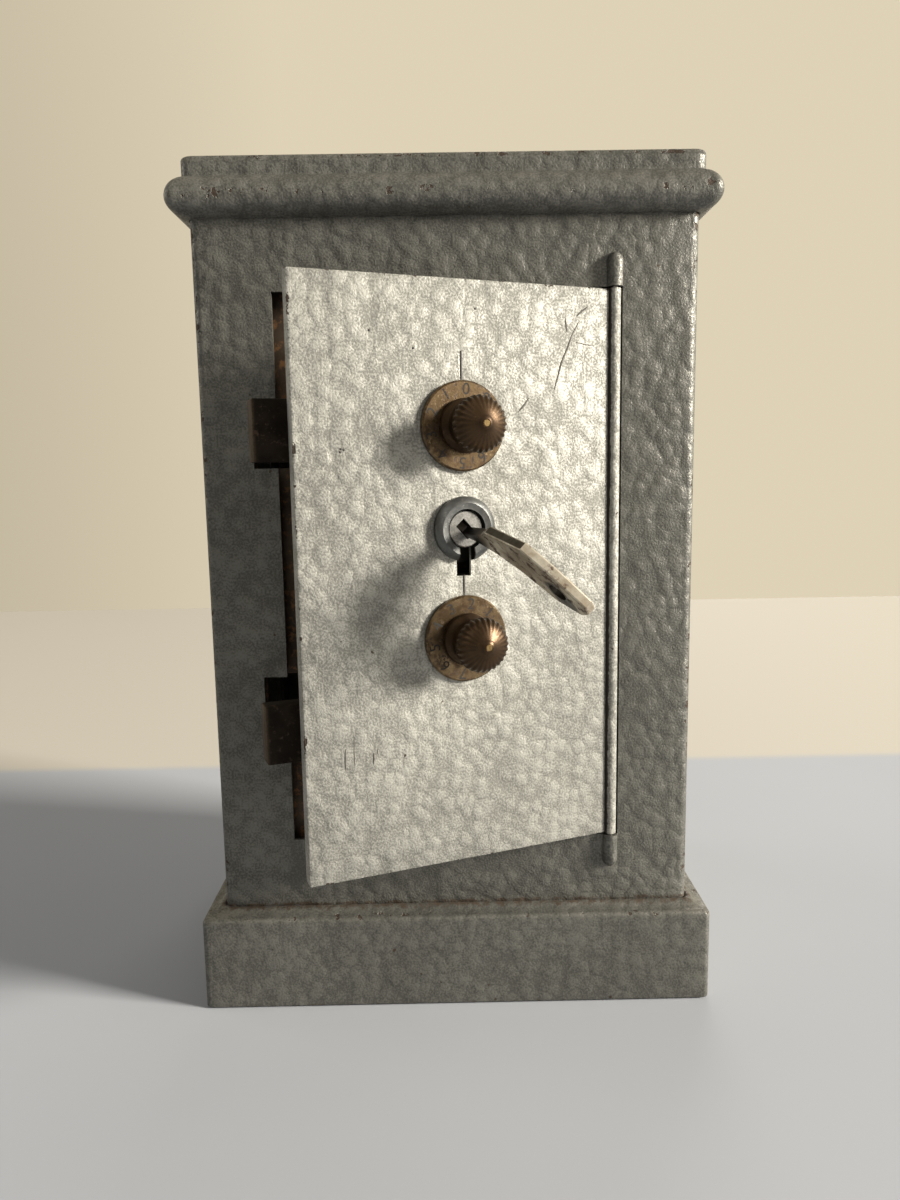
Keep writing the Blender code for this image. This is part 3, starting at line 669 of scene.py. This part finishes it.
def rect_loop(half_x: float, half_y: float, front: float, back: float, z: float) -> Array:
    """Rectangle with rounded corners as a closed loop: four arcs, each followed by a straight side.

    Args:
        half_x: half the width.
        half_y: half the depth.
        front: corner radius at the front.
        back: corner radius at the back.
        z: the loop's height.

    Returns:
        Array of shape (points, 3), counter-clockwise from the right front corner.
    """
    signs = np.array([(1, -1), (1, 1), (-1, 1), (-1, -1)], dtype=float)
    radii = np.array([front, back, back, front])
    starts = np.radians([-90.0, 0.0, 90.0, 180.0])
    centres = signs * (np.array([half_x, half_y]) - radii[:, None])
    turn = starts[:, None] + np.linspace(0.0, math.pi / 2, BEND_POINTS)[None, :]
    arcs = centres[:, None, :] + radii[:, None, None] * np.stack([np.cos(turn), np.sin(turn)], axis=-1)
    share = np.linspace(0.0, 1.0, SIDE_POINTS + 2)[1:-1]
    ends = np.roll(arcs[:, 0], -1, axis=0)
    sides = arcs[:, -1][:, None, :] * (1 - share)[None, :, None] + ends[:, None, :] * share[None, :, None]
    flat = np.concatenate([arcs, sides], axis=1).reshape(-1, 2)
    return np.column_stack([flat, np.full(len(flat), z)])


def spline(points: Curve, per: int) -> Array:
    """Catmull-Rom curve through points: each span is the cubic that keeps its neighbours' slopes.

    Args:
        points: the points that the curve passes.
        per: steps in each span.

    Returns:
        Array of shape (points, 2).
    """
    p = np.asarray(points, dtype=float)
    padded = np.concatenate([2 * p[:1] - p[1:2], p, 2 * p[-1:] - p[-2:-1]])
    t = np.linspace(0.0, 1.0, per, endpoint=False)[None, :, None]
    a, b, c, d = (padded[i:len(padded) - 3 + i][:, None, :] for i in range(4))
    square, cube = 2 * a - 5 * b + 4 * c - d, 3 * b - a - 3 * c + d
    curve = 0.5 * (2 * b + (c - a) * t + square * t ** 2 + cube * t ** 3)
    return np.concatenate([curve.reshape(-1, 2), p[-1:]])


def quarter(over: float, z: float, radius: float, start: float = 0.0) -> Array:
    """Quarter circle: its centre (over, z) plus the radius times cosine and sine, from a start in radians."""
    turn = start + np.linspace(0.0, math.pi / 2, 7)
    return np.column_stack([over + radius * np.cos(turn), z + radius * np.sin(turn)])


def dress(piece: Piece, body: str, slot: Slot, material: Material) -> Piece:
    """Give a new piece its finish and its body.

    Args:
        piece: the piece.
        body: the CAD body it rides on.
        slot: the record's slot, not used.
        material: its finish.

    Returns:
        The same piece.
    """
    piece.data.materials.clear()
    piece.data.materials.append(material)
    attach(piece, body)
    LOG.info("piece %s rides on %s", piece.name, body)
    return piece


def corners_of(mesh: bpy.types.Mesh) -> Array:
    """Corners of a mesh.

    Args:
        mesh: the mesh.

    Returns:
        Array of shape (corners, 3).
    """
    flat = np.empty(len(mesh.vertices) * 3, dtype=np.float32)
    mesh.vertices.foreach_get("co", flat)
    return flat.reshape(-1, 3).astype(float)


@dataclass
class Packed:
    """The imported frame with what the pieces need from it."""

    frame: dict[str, Any]

    def joint(self, name: str) -> dict[str, Any]:
        """One joint of the record by its name."""
        return next(j for j in self.frame["record"]["behaviour"]["joints"] if j["name"] == name)

    def thin_axis(self, node: str) -> Point:
        """Direction in which a flat node is thinnest: the least singular vector of its corners.

        Args:
            node: the node's name.

        Returns:
            The direction, of length 1.
        """
        corners = corners_of(self.frame["nodes"][node].data)
        axis = np.linalg.svd(corners - corners.mean(axis=0), full_matrices=False)[2][-1]
        return tuple(float(part) for part in axis)

    def soften(self, node: str, material: Material, angle: float = 35.0) -> None:
        """Shade a CAD node smoothly over its small bends and give it a finish.

        Args:
            node: the node's name.
            material: its finish.
            angle: bends sharper than this, in degrees, stay edges.
        """
        obj = self.frame["nodes"][node]
        obj.data.materials.clear()
        obj.data.materials.append(material)
        obj.data.polygons.foreach_set("use_smooth", np.ones(len(obj.data.polygons), dtype=bool))
        weld = obj.modifiers.new("weld", "WELD")
        weld.merge_threshold = 0.005 * MM
        split = obj.modifiers.new("split", "EDGE_SPLIT")
        split.split_angle = math.radians(angle)
        LOG.info("node %s dressed", node)


@dataclass
class DoorPlace:
    """The door's own frame: b runs from the hinge to the free edge, out leaves the face, z is up."""

    packed: Packed

    def __post_init__(self) -> None:
        """Read the hinge and the dial axes from the record."""
        self.hinge = np.array(self.packed.joint("door_hinge")["pos_m"])
        self.out = np.array(self.packed.joint("upper_dial_turn")["axis"])
        self.along = np.cross(self.out, UP)
        self.turn = math.atan2(self.out[0], -self.out[1])
        self.foot = (float(self.hinge[0]), float(self.hinge[1]))

    def material(self, finish: HammeredEnamel | AgedMetal, **more: Any) -> Material:
        """Build a finish, with more of its fields set, that follows the door: X is -b, Y is -out and Z is up."""
        return replace(finish, turn=self.turn, origin=self.foot, **more).material()

    def at(self, b: Array, out: Array, z: Array) -> Array:
        """Points in the part's frame from door coordinates.

        Args:
            b: distance from the hinge axis along the leaf.
            out: height above the leaf's face.
            z: height above the floor.

        Returns:
            Array with a last axis of 3.
        """
        b, out, z = np.broadcast_arrays(b, out, z)
        base = np.array([*self.foot, 0.0])
        return base + b[..., None] * self.along + out[..., None] * self.out + z[..., None] * UP

    def round_axis(self, joint: str, radius: Array, turn: Array, out: Array) -> Array:
        """Points round one of the door's own axes.

        Args:
            joint: the joint whose axis is used.
            radius: distance from the axis.
            turn: angle from twelve o'clock, counter-clockwise seen from the front.
            out: height above the leaf's face.

        Returns:
            Array with a last axis of 3.
        """
        centre = np.array(self.packed.joint(joint)["pos_m"])
        radius, turn, out = np.broadcast_arrays(radius, turn, out)
        side = (radius * np.sin(turn))[..., None] * self.along
        return centre + side + (radius * np.cos(turn))[..., None] * UP + out[..., None] * self.out


# Sub-assemblies


@dataclass
class Carcass:
    """Body, plinth and cornice in the shaded copy of the grey hammered enamel, painted darker than the door as
    painted shade. Curves are (overhang, height) in millimetres.
    """

    packed: Packed
    half_w: float = 45.8 * MM
    half_d: float = 36.0 * MM
    fold: float = 1.6 * MM
    back: float = 0.2 * MM
    fit: float = 0.15 * MM
    height: float = 160.0 * MM
    cap: float = 0.9 * MM
    cornice_foot: float = 149.45 * MM
    cornice_r: float = 1.8 * MM
    plinth_r: float = 1.2 * MM
    plinth_top: float = 19.7 * MM
    slot_l: float = 34.0 * MM
    slot_w: float = 5.0 * MM
    slot_r: float = 0.5 * MM
    slot_lip: Curve = ((0.35, 0.0), (0.1, -0.08), (0.0, -0.35))
    bead: Curve = ((0.35, 149.42), (1.3, 149.75), (2.45, 150.5), (3.2, 151.45), (3.5, 152.6), (3.35, 153.9),
                   (2.8, 155.1), (1.95, 156.0), (0.95, 156.48))
    shoulder: Curve = ((2.7, 18.53), (1.9, 18.85), (1.05, 19.4), (0.5, 19.6))
    plinth_inside: Curve = ((0.17, 19.5), (0.15, 19.0), (0.15, 17.7), (3.1, 17.7), (3.1, 9.0), (3.1, 0.2))

    def ring(self, over: float, z: float, corner: float) -> Array:
        """Loop round the body at an overhang and a height, with its front corner radius."""
        return rect_loop(self.half_w + over, self.half_d + over, corner, self.back + over, z)

    def slot_ring(self, grow: float, z: float) -> Array:
        """Loop round the coin slot, grown on all sides, at a height."""
        radius = self.slot_r + grow
        return rect_loop(self.slot_l / 2 + grow, self.slot_w / 2 + grow, radius, radius, z)

    def cornice(self) -> Piece:
        """Cap with its rolled bead: a profile carried round the body and closed through the coin slot.

        Returns:
            The piece.
        """
        over, edge_r, step_low, step_high = 0.9, 0.8, 156.6, 159.2
        step = np.column_stack([np.full(8, over), np.linspace(step_low, step_high, 8)])
        profile = np.concatenate([spline(self.bead, 6), step, quarter(over - edge_r, step_high, edge_r)]) * MM
        rings = [self.ring(out, z, self.cornice_r) for out, z in profile]
        lips = [self.slot_ring(grow * MM, self.height + z * MM) for grow, z in self.slot_lip]
        lips.append(self.slot_ring(0.0, self.height - self.cap))
        edge = rings[-1]
        rings += [edge * (1 - share) + lips[0] * share for share in np.linspace(0.08, 0.92, 8)]
        inner_r = self.fold + self.fit
        ceiling = self.ring(self.fit, self.height - self.cap, inner_r)
        rings += [*lips, (lips[-1] + ceiling) / 2, ceiling, self.ring(self.fit, self.cornice_foot, inner_r)]
        return grid_piece("cornice_cap", np.stack(rings))

    def plinth(self) -> Piece:
        """Skirt with its sloping shoulder: a profile carried round the body and closed on the inside.

        Returns:
            The piece.
        """
        over, foot_r, foot_z, brow_r, brow_z = 3.9, 0.3, 0.5, 1.0, 17.5
        foot = quarter(over - foot_r, foot_z, foot_r, -math.pi / 2)
        wall = np.column_stack([np.full(6, over), np.linspace(1.5, 16.6, 6)])
        brow = quarter(over - brow_r, brow_z, brow_r)
        outer = np.concatenate([foot, wall, brow, spline(self.shoulder, 5)]) * MM
        rings = [self.ring(out, z, self.plinth_r) for out, z in outer]
        rings += [self.ring(out, z, self.fold + out) for out, z in np.array(self.plinth_inside) * MM]
        return grid_piece("plinth_skirt", np.stack(rings))

    def build(self) -> None:
        """Make and dress the body's pieces."""
        soften = self.packed.soften
        bead_chips = (WornBand(Axis.Z, 153.1 * MM, 1.6 * MM, 0.40), WornBand(Axis.Z, 159.4 * MM, 0.5 * MM, 0.40))
        enamel = replace(SHADED_BODY_ENAMEL, name="shaded_cornice_enamel", chips=bead_chips, relief=0.5 * MM)
        cornice = dress(self.cornice(), "safe", Slot.BODY, enamel.material())
        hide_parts("cornice")
        foot_rust = (WornBand(Axis.Z, self.plinth_top, 1.1 * MM, 0.85), WornBand(Axis.Z, 0.0, 1.0 * MM, 0.6))
        brow_chips = (WornBand(Axis.Z, 18.2 * MM, 0.7 * MM, 0.36),)
        enamel = replace(SHADED_BODY_ENAMEL, name="shaded_plinth_enamel", chips=brow_chips, rust=foot_rust, relief=0.34 * MM)
        plinth = dress(self.plinth(), "safe", Slot.BODY, enamel.material())
        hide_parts("plinth")
        front = WornBand(Axis.Y, -self.half_d, 1.6 * MM, 1.0)
        folds = (WornBand(Axis.X, self.half_w, 1.6 * MM, 0.45, front, folded=True),)
        shell_rust = (WornBand(Axis.Z, self.plinth_top, 0.9 * MM, 0.75),)
        soften("body_shell", replace(SHADED_BODY_ENAMEL, chips=folds, rust=shell_rust).material())
        soften("back_panel", replace(SHADED_BODY_ENAMEL, name="shaded_back_enamel").material())
        for node, finish in (("base_tray", TRAY_STEEL), ("keeper_strip", KEEPER_STEEL), ("hinge_pin", PIN_STEEL)):
            soften(node, finish.material())


@dataclass(frozen=True)
class Marks:
    """Thin marks on the leaf: strokes of (b, z) in millimetres, their size and their finish."""

    name: str
    slot: Slot
    finish: AgedMetal
    strokes: tuple[Curve, ...]
    width: float
    proud: float
    power: float = 0.5


@dataclass
class Door:
    """Leaf in the lit copy of the hammered enamel, painted lighter than the body as painted light, with its
    marks, the collar and what it carries inside.
    """

    packed: Packed
    place: DoorPlace
    control_b: float = 30.4 * MM
    notch_drop: float = 4.6 * MM
    seam_b: float = 1.15 * MM
    scratches: tuple[Curve, ...] = (
        ((7.3, 130.5), (8.7, 128.1), (10.0, 125.1), (11.0, 122.9), (11.9, 119.9), (12.5, 118.1)),
        ((10.2, 130.9), (10.0, 129.6), (9.8, 128.4)), ((17.5, 116.8), (18.6, 115.4), (19.6, 114.4)),
        ((5.8, 132.9), (7.0, 132.0), (8.0, 131.1)), ((52.9, 57.4), (53.0, 55.5), (53.0, 53.7)),
        ((47.9, 56.1), (47.9, 55.2), (48.0, 54.0)))
    hairs: tuple[Curve, ...] = (
        ((8.3, 126.8), (6.1, 126.4), (4.1, 126.3)), ((51.3, 59.4), (51.4, 56.7), (51.4, 53.9)),
        ((47.2, 56.6), (47.2, 56.1), (47.1, 55.6)))
    specks: Curve = ((46.6, 127.2), (39.0, 124.6), (52.1, 107.6), (51.5, 107.95), (52.0, 108.1), (27.6, 131.5))

    def marks(self) -> tuple[Marks, ...]:
        """Index marks, the painted highlight beside the upper one, scratches and specks.

        Returns:
            The marks in the order in which they are made.
        """
        b = self.control_b / MM
        index = tuple(tuple((b, z) for z in line) for line in ((119.6, 122.0, 124.5), (82.6, 84.4, 86.2)))
        # Painted highlight beside the upper index mark.
        highlight_line = (tuple((b + 0.42, z) for z in (120.2, 122.2, 124.2)),)
        specks = tuple(((at - 0.2, z), (at, z + 0.06), (at + 0.2, z + 0.02)) for at, z in self.specks)
        return (
            Marks("index_marks", Slot.DARK, MARK_INK, index, 0.42 * MM, 0.03 * MM, 0.15),
            Marks("index_highlight", Slot.STEEL, GROOVE_HIGHLIGHT, highlight_line, 0.22 * MM, 0.03 * MM, 0.15),
            Marks("door_scratches", Slot.STEEL, SCRATCH_STEEL, self.scratches, 0.34 * MM, 0.02 * MM),
            Marks("door_hair_scratches", Slot.STEEL, SCRATCH_STEEL, self.hairs, 0.16 * MM, 0.02 * MM),
            Marks("door_specks", Slot.DARK, MARK_INK, specks, 0.40 * MM, 0.02 * MM, 0.3),
        )

    def ribbon(self, marks: Marks) -> Piece:
        """Strips along curves: a strip's width is a power of a half sine wave, blunt where the power is small.

        Args:
            marks: the strokes and their size.

        Returns:
            The piece.
        """
        points, quads, start = [], [], 0
        for stroke in marks.strokes:
            line = spline(stroke, 8) * MM
            slope = np.gradient(line, axis=0)
            slope /= np.linalg.norm(slope, axis=1)[:, None] + 1e-12
            half = 0.5 * marks.width * np.sin(np.linspace(0.05, math.pi - 0.05, len(line))) ** marks.power
            normal = np.column_stack([-slope[:, 1], slope[:, 0]]) * half[:, None]
            left, right = line + normal, line - normal
            edges = ((left, 0.0), (left, marks.proud), (right, marks.proud), (right, 0.0))
            rows = np.stack([self.place.at(side[:, 0], np.array(out), side[:, 1]) for side, out in edges], axis=1)
            index = start + np.arange(len(line) * 4).reshape(-1, 4)
            quads.append(grid_quads(np.concatenate([index, index[:, :1]], axis=1)))
            quads.append(np.stack([index[0], index[-1][::-1]]))
            points.append(rows.reshape(-1, 3))
            start += index.size
        return quad_piece(marks.name, np.concatenate(points), np.concatenate(quads))

    def build(self) -> None:
        """Make and dress the door's pieces."""
        soften = self.packed.soften
        face = WornBand(Axis.Y, 0.0, 0.6 * MM, 1.0)
        rims = ((Axis.X, -60.0), (Axis.Z, 136.45), (Axis.Z, 33.45))
        edges = tuple(WornBand(axis, at * MM, 0.6 * MM, 0.5, face) for axis, at in rims)
        # Painted shade: a dark band on the leaf along the hinge barrel, the barrel's shadow in the crease, laid
        # through the enamel's rust layer.
        seam_shade = WornBand(Axis.X, -self.seam_b, 0.34 * MM, 1.6)
        soften("door_leaf", self.place.material(LIT_DOOR_ENAMEL, chips=edges, rust=(seam_shade,)))
        made = {finish: finish.material() for finish in (MARK_INK, GROOVE_HIGHLIGHT, SCRATCH_STEEL)}
        for marks in self.marks():
            dress(self.ribbon(marks), "door", marks.slot, made[marks.finish])
        # Painted shade: the collar is painted near black in its keyhole notch, as the shade inside it.
        foot = WornBand(Axis.Z, self.packed.joint("key_turn")["pos_m"][2] - self.notch_drop, 2.0 * MM, 6.0)
        notch_shade = WornBand(Axis.X, -self.control_b, 1.6 * MM, 12.0, foot)
        soften("lock_collar", self.place.material(COLLAR_ZINC, grime=(notch_shade,)))
        plain = INNER_STEEL.material()
        pillars = (f"cover_pillar_{i}" for i in range(1, 5))
        for node in ("lock_cover", "upper_bolt_guide", "lower_bolt_guide", *pillars):
            soften(node, plain)


@dataclass
class Dial:
    """One numbered dial with its fluted knob. Curves are (radius, height over the leaf) in millimetres."""

    packed: Packed
    place: DoorPlace
    tag: str
    first: float
    flutes: int = 28
    per_flute: int = 10
    flute_deep: float = 0.27 * MM
    digit_r: float = 6.15 * MM
    digit_size: float = 2.1 * 1.35 * MM
    digit_proud: float = 0.03 * MM
    face: float = 1.1 * MM
    foot: Curve = ((4.6, 1.25), (4.68, 1.6), (4.62, 2.1), (4.3, 2.55))
    waist: Curve = ((3.95, 2.9), (3.72, 3.5), (3.68, 5.4), (3.82, 6.3), (4.2, 6.75))
    crown: Curve = ((4.52, 6.92), (4.77, 7.2), (4.8, 7.7), (4.66, 8.2), (4.25, 8.72), (3.55, 9.22), (2.65, 9.66),
                    (1.85, 9.98), (1.35, 10.2), (1.1, 10.35), (0.85, 10.47), (0.64, 10.55))
    bore: Curve = ((0.62, 10.53), (0.67, 10.5), (1.11, 10.22), (1.11, 9.9), (1.11, 5.0), (1.11, 1.2), (2.8, 1.2),
                   (4.45, 1.2))

    @property
    def joint(self) -> str:
        """Name of the dial's joint."""
        return f"{self.tag}_dial_turn"

    @property
    def body(self) -> str:
        """Name of the dial's body."""
        return f"{self.tag}_dial_group"

    def knob(self) -> Piece:
        """Fluted knob: a turned profile whose crown dips by a power of a cosine wave in each flute.

        Returns:
            The piece, with a "crest" attribute that is highest on the ridges.
        """
        smooth = np.concatenate([spline(self.foot, 5), spline(self.waist, 5)])
        crown = spline(self.crown, 6)
        profile = np.concatenate([smooth, crown, self.bore]) * MM
        rise = np.clip(np.linspace(0.0, 9.0, len(crown)), 0.0, 1.0)
        fade = np.clip((crown[:, 0] - 1.2) / 3.5, 0.0, 1.0)
        share = np.concatenate([np.zeros(len(smooth)), rise * fade, np.zeros(len(self.bore))])[:, None]
        turn = np.linspace(0.0, 2 * math.pi, self.flutes * self.per_flute, endpoint=False)[None, :]
        ridge = 1.0 - (0.5 - 0.5 * np.cos(self.flutes * turn)) ** 0.8
        radius = profile[:, :1] - self.flute_deep * share ** 3 * (1.0 - ridge)
        points = self.place.round_axis(self.joint, radius, turn, profile[:, 1:])
        piece = grid_piece(f"{self.tag}_knob_fluted", points)
        crest = piece.data.attributes.new("crest", "FLOAT", "POINT")
        crest.data.foreach_set("value", (0.5 * share * ridge ** 2).astype(np.float32).ravel())
        return piece

    def figure(self, digit: int) -> tuple[Array, list[list[int]]]:
        """One flat figure, upright about its own middle.

        Args:
            digit: the figure, 0 to 9.

        Returns:
            Its corners, and its faces as corner numbers.
        """
        curve = bpy.data.curves.new(f"figure_{digit}", "FONT")
        curve.body = str(digit)
        curve.align_x = "CENTER"
        curve.align_y = "CENTER"
        curve.size = self.digit_size
        curve.extrude = self.digit_proud
        curve.resolution_u = 4
        text = linked(curve.name, curve)
        depsgraph = bpy.context.evaluated_depsgraph_get()
        mesh = bpy.data.meshes.new_from_object(text.evaluated_get(depsgraph))
        corners, faces = corners_of(mesh), [list(face.vertices) for face in mesh.polygons]
        bpy.data.objects.remove(text, do_unlink=True)
        bpy.data.meshes.remove(mesh)
        return corners, faces

    def digits(self) -> Piece:
        """Ten figures round the plate, rising counter-clockwise, with their feet to the middle.

        Returns:
            The piece.
        """
        points: list[Array] = []
        faces: list[list[int]] = []
        start = 0
        for digit in range(10):
            flat, outlines = self.figure(digit)
            faces += [[start + corner for corner in outline] for outline in outlines]
            across, up = -flat[:, 0], self.digit_r + flat[:, 1]
            turn = math.radians(self.first + 36.0 * digit) + np.arctan2(across, up)
            height = self.face + flat[:, 2]
            points.append(self.place.round_axis(self.joint, np.hypot(across, up), turn, height))
            start += len(flat)
        mesh = bpy.data.meshes.new(f"{self.tag}_dial_figures")
        mesh.from_pydata(np.concatenate(points).tolist(), [], faces)
        mesh.update()
        return linked(mesh.name, mesh)

    def build(self, finishes: Finishes) -> None:
        """Make and dress the dial's pieces.

        Args:
            finishes: the shared finishes.
        """
        knob = dress(self.knob(), self.body, Slot.BRONZE, finishes[Shared.KNOB])
        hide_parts(f"{self.tag}_knob")
        dress(self.digits(), self.body, Slot.DARK, finishes[Shared.INK])
        for node, shared in (("dial", Shared.DIAL), ("spindle", Shared.TIP), ("cam_cup", Shared.BRASS),
                             ("spring_washer", Shared.STEEL)):
            self.packed.soften(f"{self.tag}_{node}", finishes[shared])


@dataclass
class LockWork:
    """Key, plug, drive and bolts."""

    packed: Packed
    place: DoorPlace
    tip_b: float = 65.3 * MM
    hole_b: float = 22.2 * MM
    hole_out: float = 20.2 * MM
    hole_reach: float = 2.6 * MM
    key_bend: float = 11.0
    brow_shares: Point = (0.644, 0.691, 0.329)

    def brow(self) -> Point:
        """Direction that the key's upper edge faces, from the shares along, up and out of the door; that facet is
        painted in shade.

        Returns:
            The direction, of length 1.
        """
        along, up, out = self.brow_shares
        axis = along * self.place.along + up * UP + out * self.place.out
        return tuple(float(part) for part in axis / np.linalg.norm(axis))

    def build(self, finishes: Finishes) -> None:
        """Dress the lock's nodes.

        Args:
            finishes: the shared finishes.
        """
        soften = self.packed.soften
        # Painted shade: the key's bow is painted near black round its hole.
        level = WornBand(Axis.Y, -self.hole_out, self.hole_reach, 4.0)
        hole_shade = WornBand(Axis.X, -self.hole_b, self.hole_reach, 4.0, level)
        flat = self.packed.thin_axis("key")
        # Painted shade: the facet along the key's upper edge, which faces away from the key lamp, is darkened.
        key = self.place.material(KEY_STEEL, flat=flat, dull=self.brow(), grime=(hole_shade,))
        # Painted highlight: a bright band along the ends of the bolts, where they catch the light.
        tip_highlight = WornBand(Axis.X, -self.tip_b, 0.7 * MM, 1.0)
        bolt = self.place.material(SHADED_BOLT_STEEL, rubbed=(tip_highlight,))
        soften("key", key, self.key_bend)
        soften("lock_plug", self.place.material(PLUG_STEEL))
        soften("drive_disc", OILED_STEEL.material())
        for node in ("drive_pin", *(f"bolt_rivet_{i}" for i in range(1, 5))):
            soften(node, finishes[Shared.STEEL])
        for node in ("bolt_bar", "upper_bolt", "lower_bolt"):
            soften(node, bolt)


@dataclass(frozen=True)
class Lamp:
    """A square soft lamp: its place, the point it looks at, its side in metres and its power in watts."""

    name: str
    place: Point
    aim: Point
    side: float
    power: float
    tint: Colour

    def hang(self) -> None:
        """Put the lamp into the scene, its Z axis away from the point it looks at."""
        data = bpy.data.lights.new(self.name, "AREA")
        data.size = self.side
        data.energy = self.power
        data.color = self.tint
        back = np.array(self.place) - np.array(self.aim)
        back /= np.linalg.norm(back)
        side = np.cross(UP, back)
        side /= np.linalg.norm(side)
        turn = Matrix(np.column_stack([side, np.cross(back, side), back]).tolist()).to_4x4()
        linked(self.name, data).matrix_world = Matrix.Translation(self.place) @ turn


@dataclass
class Studio:
    """Pale floor, soft light and the camera of the photograph."""

    focal_px: float = 901.0
    long_px: float = 1200.0
    eye: Point = (-1.394 * MM, -204.865 * MM, 104.411 * MM)
    yaw: float = -0.0069
    pitch: float = -0.14283
    roll: float = 0.01676
    sweep_y: float = 109.0 * MM
    sweep_soft: float = 4.0 * MM
    near_y: float = -4.0
    far_y: float = 0.5
    half_x: float = 3.0
    floor_z: float = -0.02 * MM
    paper: tuple[Colour, Colour] = ((0.38, 0.395, 0.42), (0.41, 0.425, 0.45))
    sheet: Colour = (0.515, 0.477, 0.40)
    cream: Colour = (0.73, 0.64, 0.47)
    ambient: Colour = (0.17, 0.162, 0.148)
    lamps: tuple[Lamp, ...] = (
        Lamp("key_lamp", (2.6, -0.80, 0.98), (0.0, -0.04, 0.08), 0.62, 226.0, (1.0, 0.945, 0.86)),
        Lamp("back_lamp", (0.5, 2.3, 1.0), (0.0, 0.0, 0.08), 1.2, 20.0, (1.0, 0.96, 0.90)),
        Lamp("left_lamp", (-2.2, 0.5, 1.1), (0.0, 0.0, 0.08), 1.4, 14.0, (1.0, 0.97, 0.92)),
        Lamp("fill_lamp", (-0.4, -1.5, 1.3), (0.0, 0.0, 0.08), 1.2, 4.0, (0.95, 0.97, 1.0)),
    )

    def floor(self) -> None:
        """Wide pale floor with a faint grain and a creamy sheet behind."""
        tree = Paint("floor_paper")
        where = tree.place()
        near = tree.blend(tree.noise(where, 9.0, 4.0), *self.paper)
        behind = tree.step(tree.split(where)["Y"], self.sweep_y - self.sweep_soft, self.sweep_y + self.sweep_soft)
        tree.feed(tree.shader.inputs["Base Color"], tree.blend(behind, near, self.sheet))
        tree.shader.inputs["Roughness"].default_value = 0.75
        x, y = np.meshgrid(np.linspace(-self.half_x, self.half_x, 9), np.linspace(self.near_y, self.far_y, 9))
        piece = grid_piece("floor", np.stack([x, y, np.full_like(x, self.floor_z)], axis=-1), wrap=False)
        piece.data.materials.append(tree.material)

    def camera(self) -> None:
        """Camera fitted to the photograph: turned about Z, then tilted, then rolled about its sight line."""
        data = bpy.data.cameras.new("camera")
        data.sensor_width = 36.0
        data.lens = self.focal_px / self.long_px * data.sensor_width
        data.clip_start = 0.005
        yaw, pitch, roll = (Matrix.Rotation(angle, 3, axis) for angle, axis in
                            ((self.yaw, "Z"), (self.pitch, "X"), (self.roll, "Y")))
        right, ahead, up = (yaw @ pitch @ roll).transposed()
        camera = linked("camera", data)
        camera.matrix_world = Matrix.Translation(self.eye) @ Matrix((right, up, -ahead)).transposed().to_4x4()
        bpy.context.scene.camera = camera

    def sky(self) -> None:
        """Pale light from all round, fainter from the left and from the front."""
        world = bpy.data.worlds.new("studio")
        world.use_nodes = True
        tree = NodeTree(world.node_tree)
        rays = tree.add("ShaderNodeLightPath").outputs
        seen = rays["Is Camera Ray"]
        for ray in ("Is Glossy Ray", "Is Transmission Ray"):
            seen = tree.calc("MAXIMUM", seen, rays[ray])
        parts = tree.split(tree.add("ShaderNodeTexCoord").outputs["Generated"])
        fades = (tree.step(parts[axis], -1.0, start, (dimmest, 1.0), "LINEAR")
                 for axis, start, dimmest in (("X", -0.15, 0.3), ("Y", 0.1, 0.5)))
        inputs = world.node_tree.nodes["Background"].inputs
        tree.feed(inputs["Color"], tree.blend(seen, self.ambient, self.cream))
        tree.feed(inputs["Strength"], tree.calc("MULTIPLY", *fades))
        bpy.context.scene.world = world

    def build(self) -> None:
        """Set up floor, light and camera."""
        bpy.context.scene.view_settings.view_transform = "Standard"
        self.floor()
        self.sky()
        for lamp in self.lamps:
            lamp.hang()
        self.camera()


def main() -> None:
    """Load the frame and build every sub-assembly in order."""
    logging.basicConfig(level=logging.INFO)
    packed = Packed(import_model())
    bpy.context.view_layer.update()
    finishes = {shared: shared.value.material() for shared in Shared}
    place = DoorPlace(packed)
    Carcass(packed).build()
    Door(packed, place).build()
    Dial(packed, place, "upper", first=-4.0).build(finishes)
    Dial(packed, place, "lower", first=-80.0).build(finishes)
    LockWork(packed, place).build(finishes)
    Studio().build()


if __name__ == "__main__":
    main()
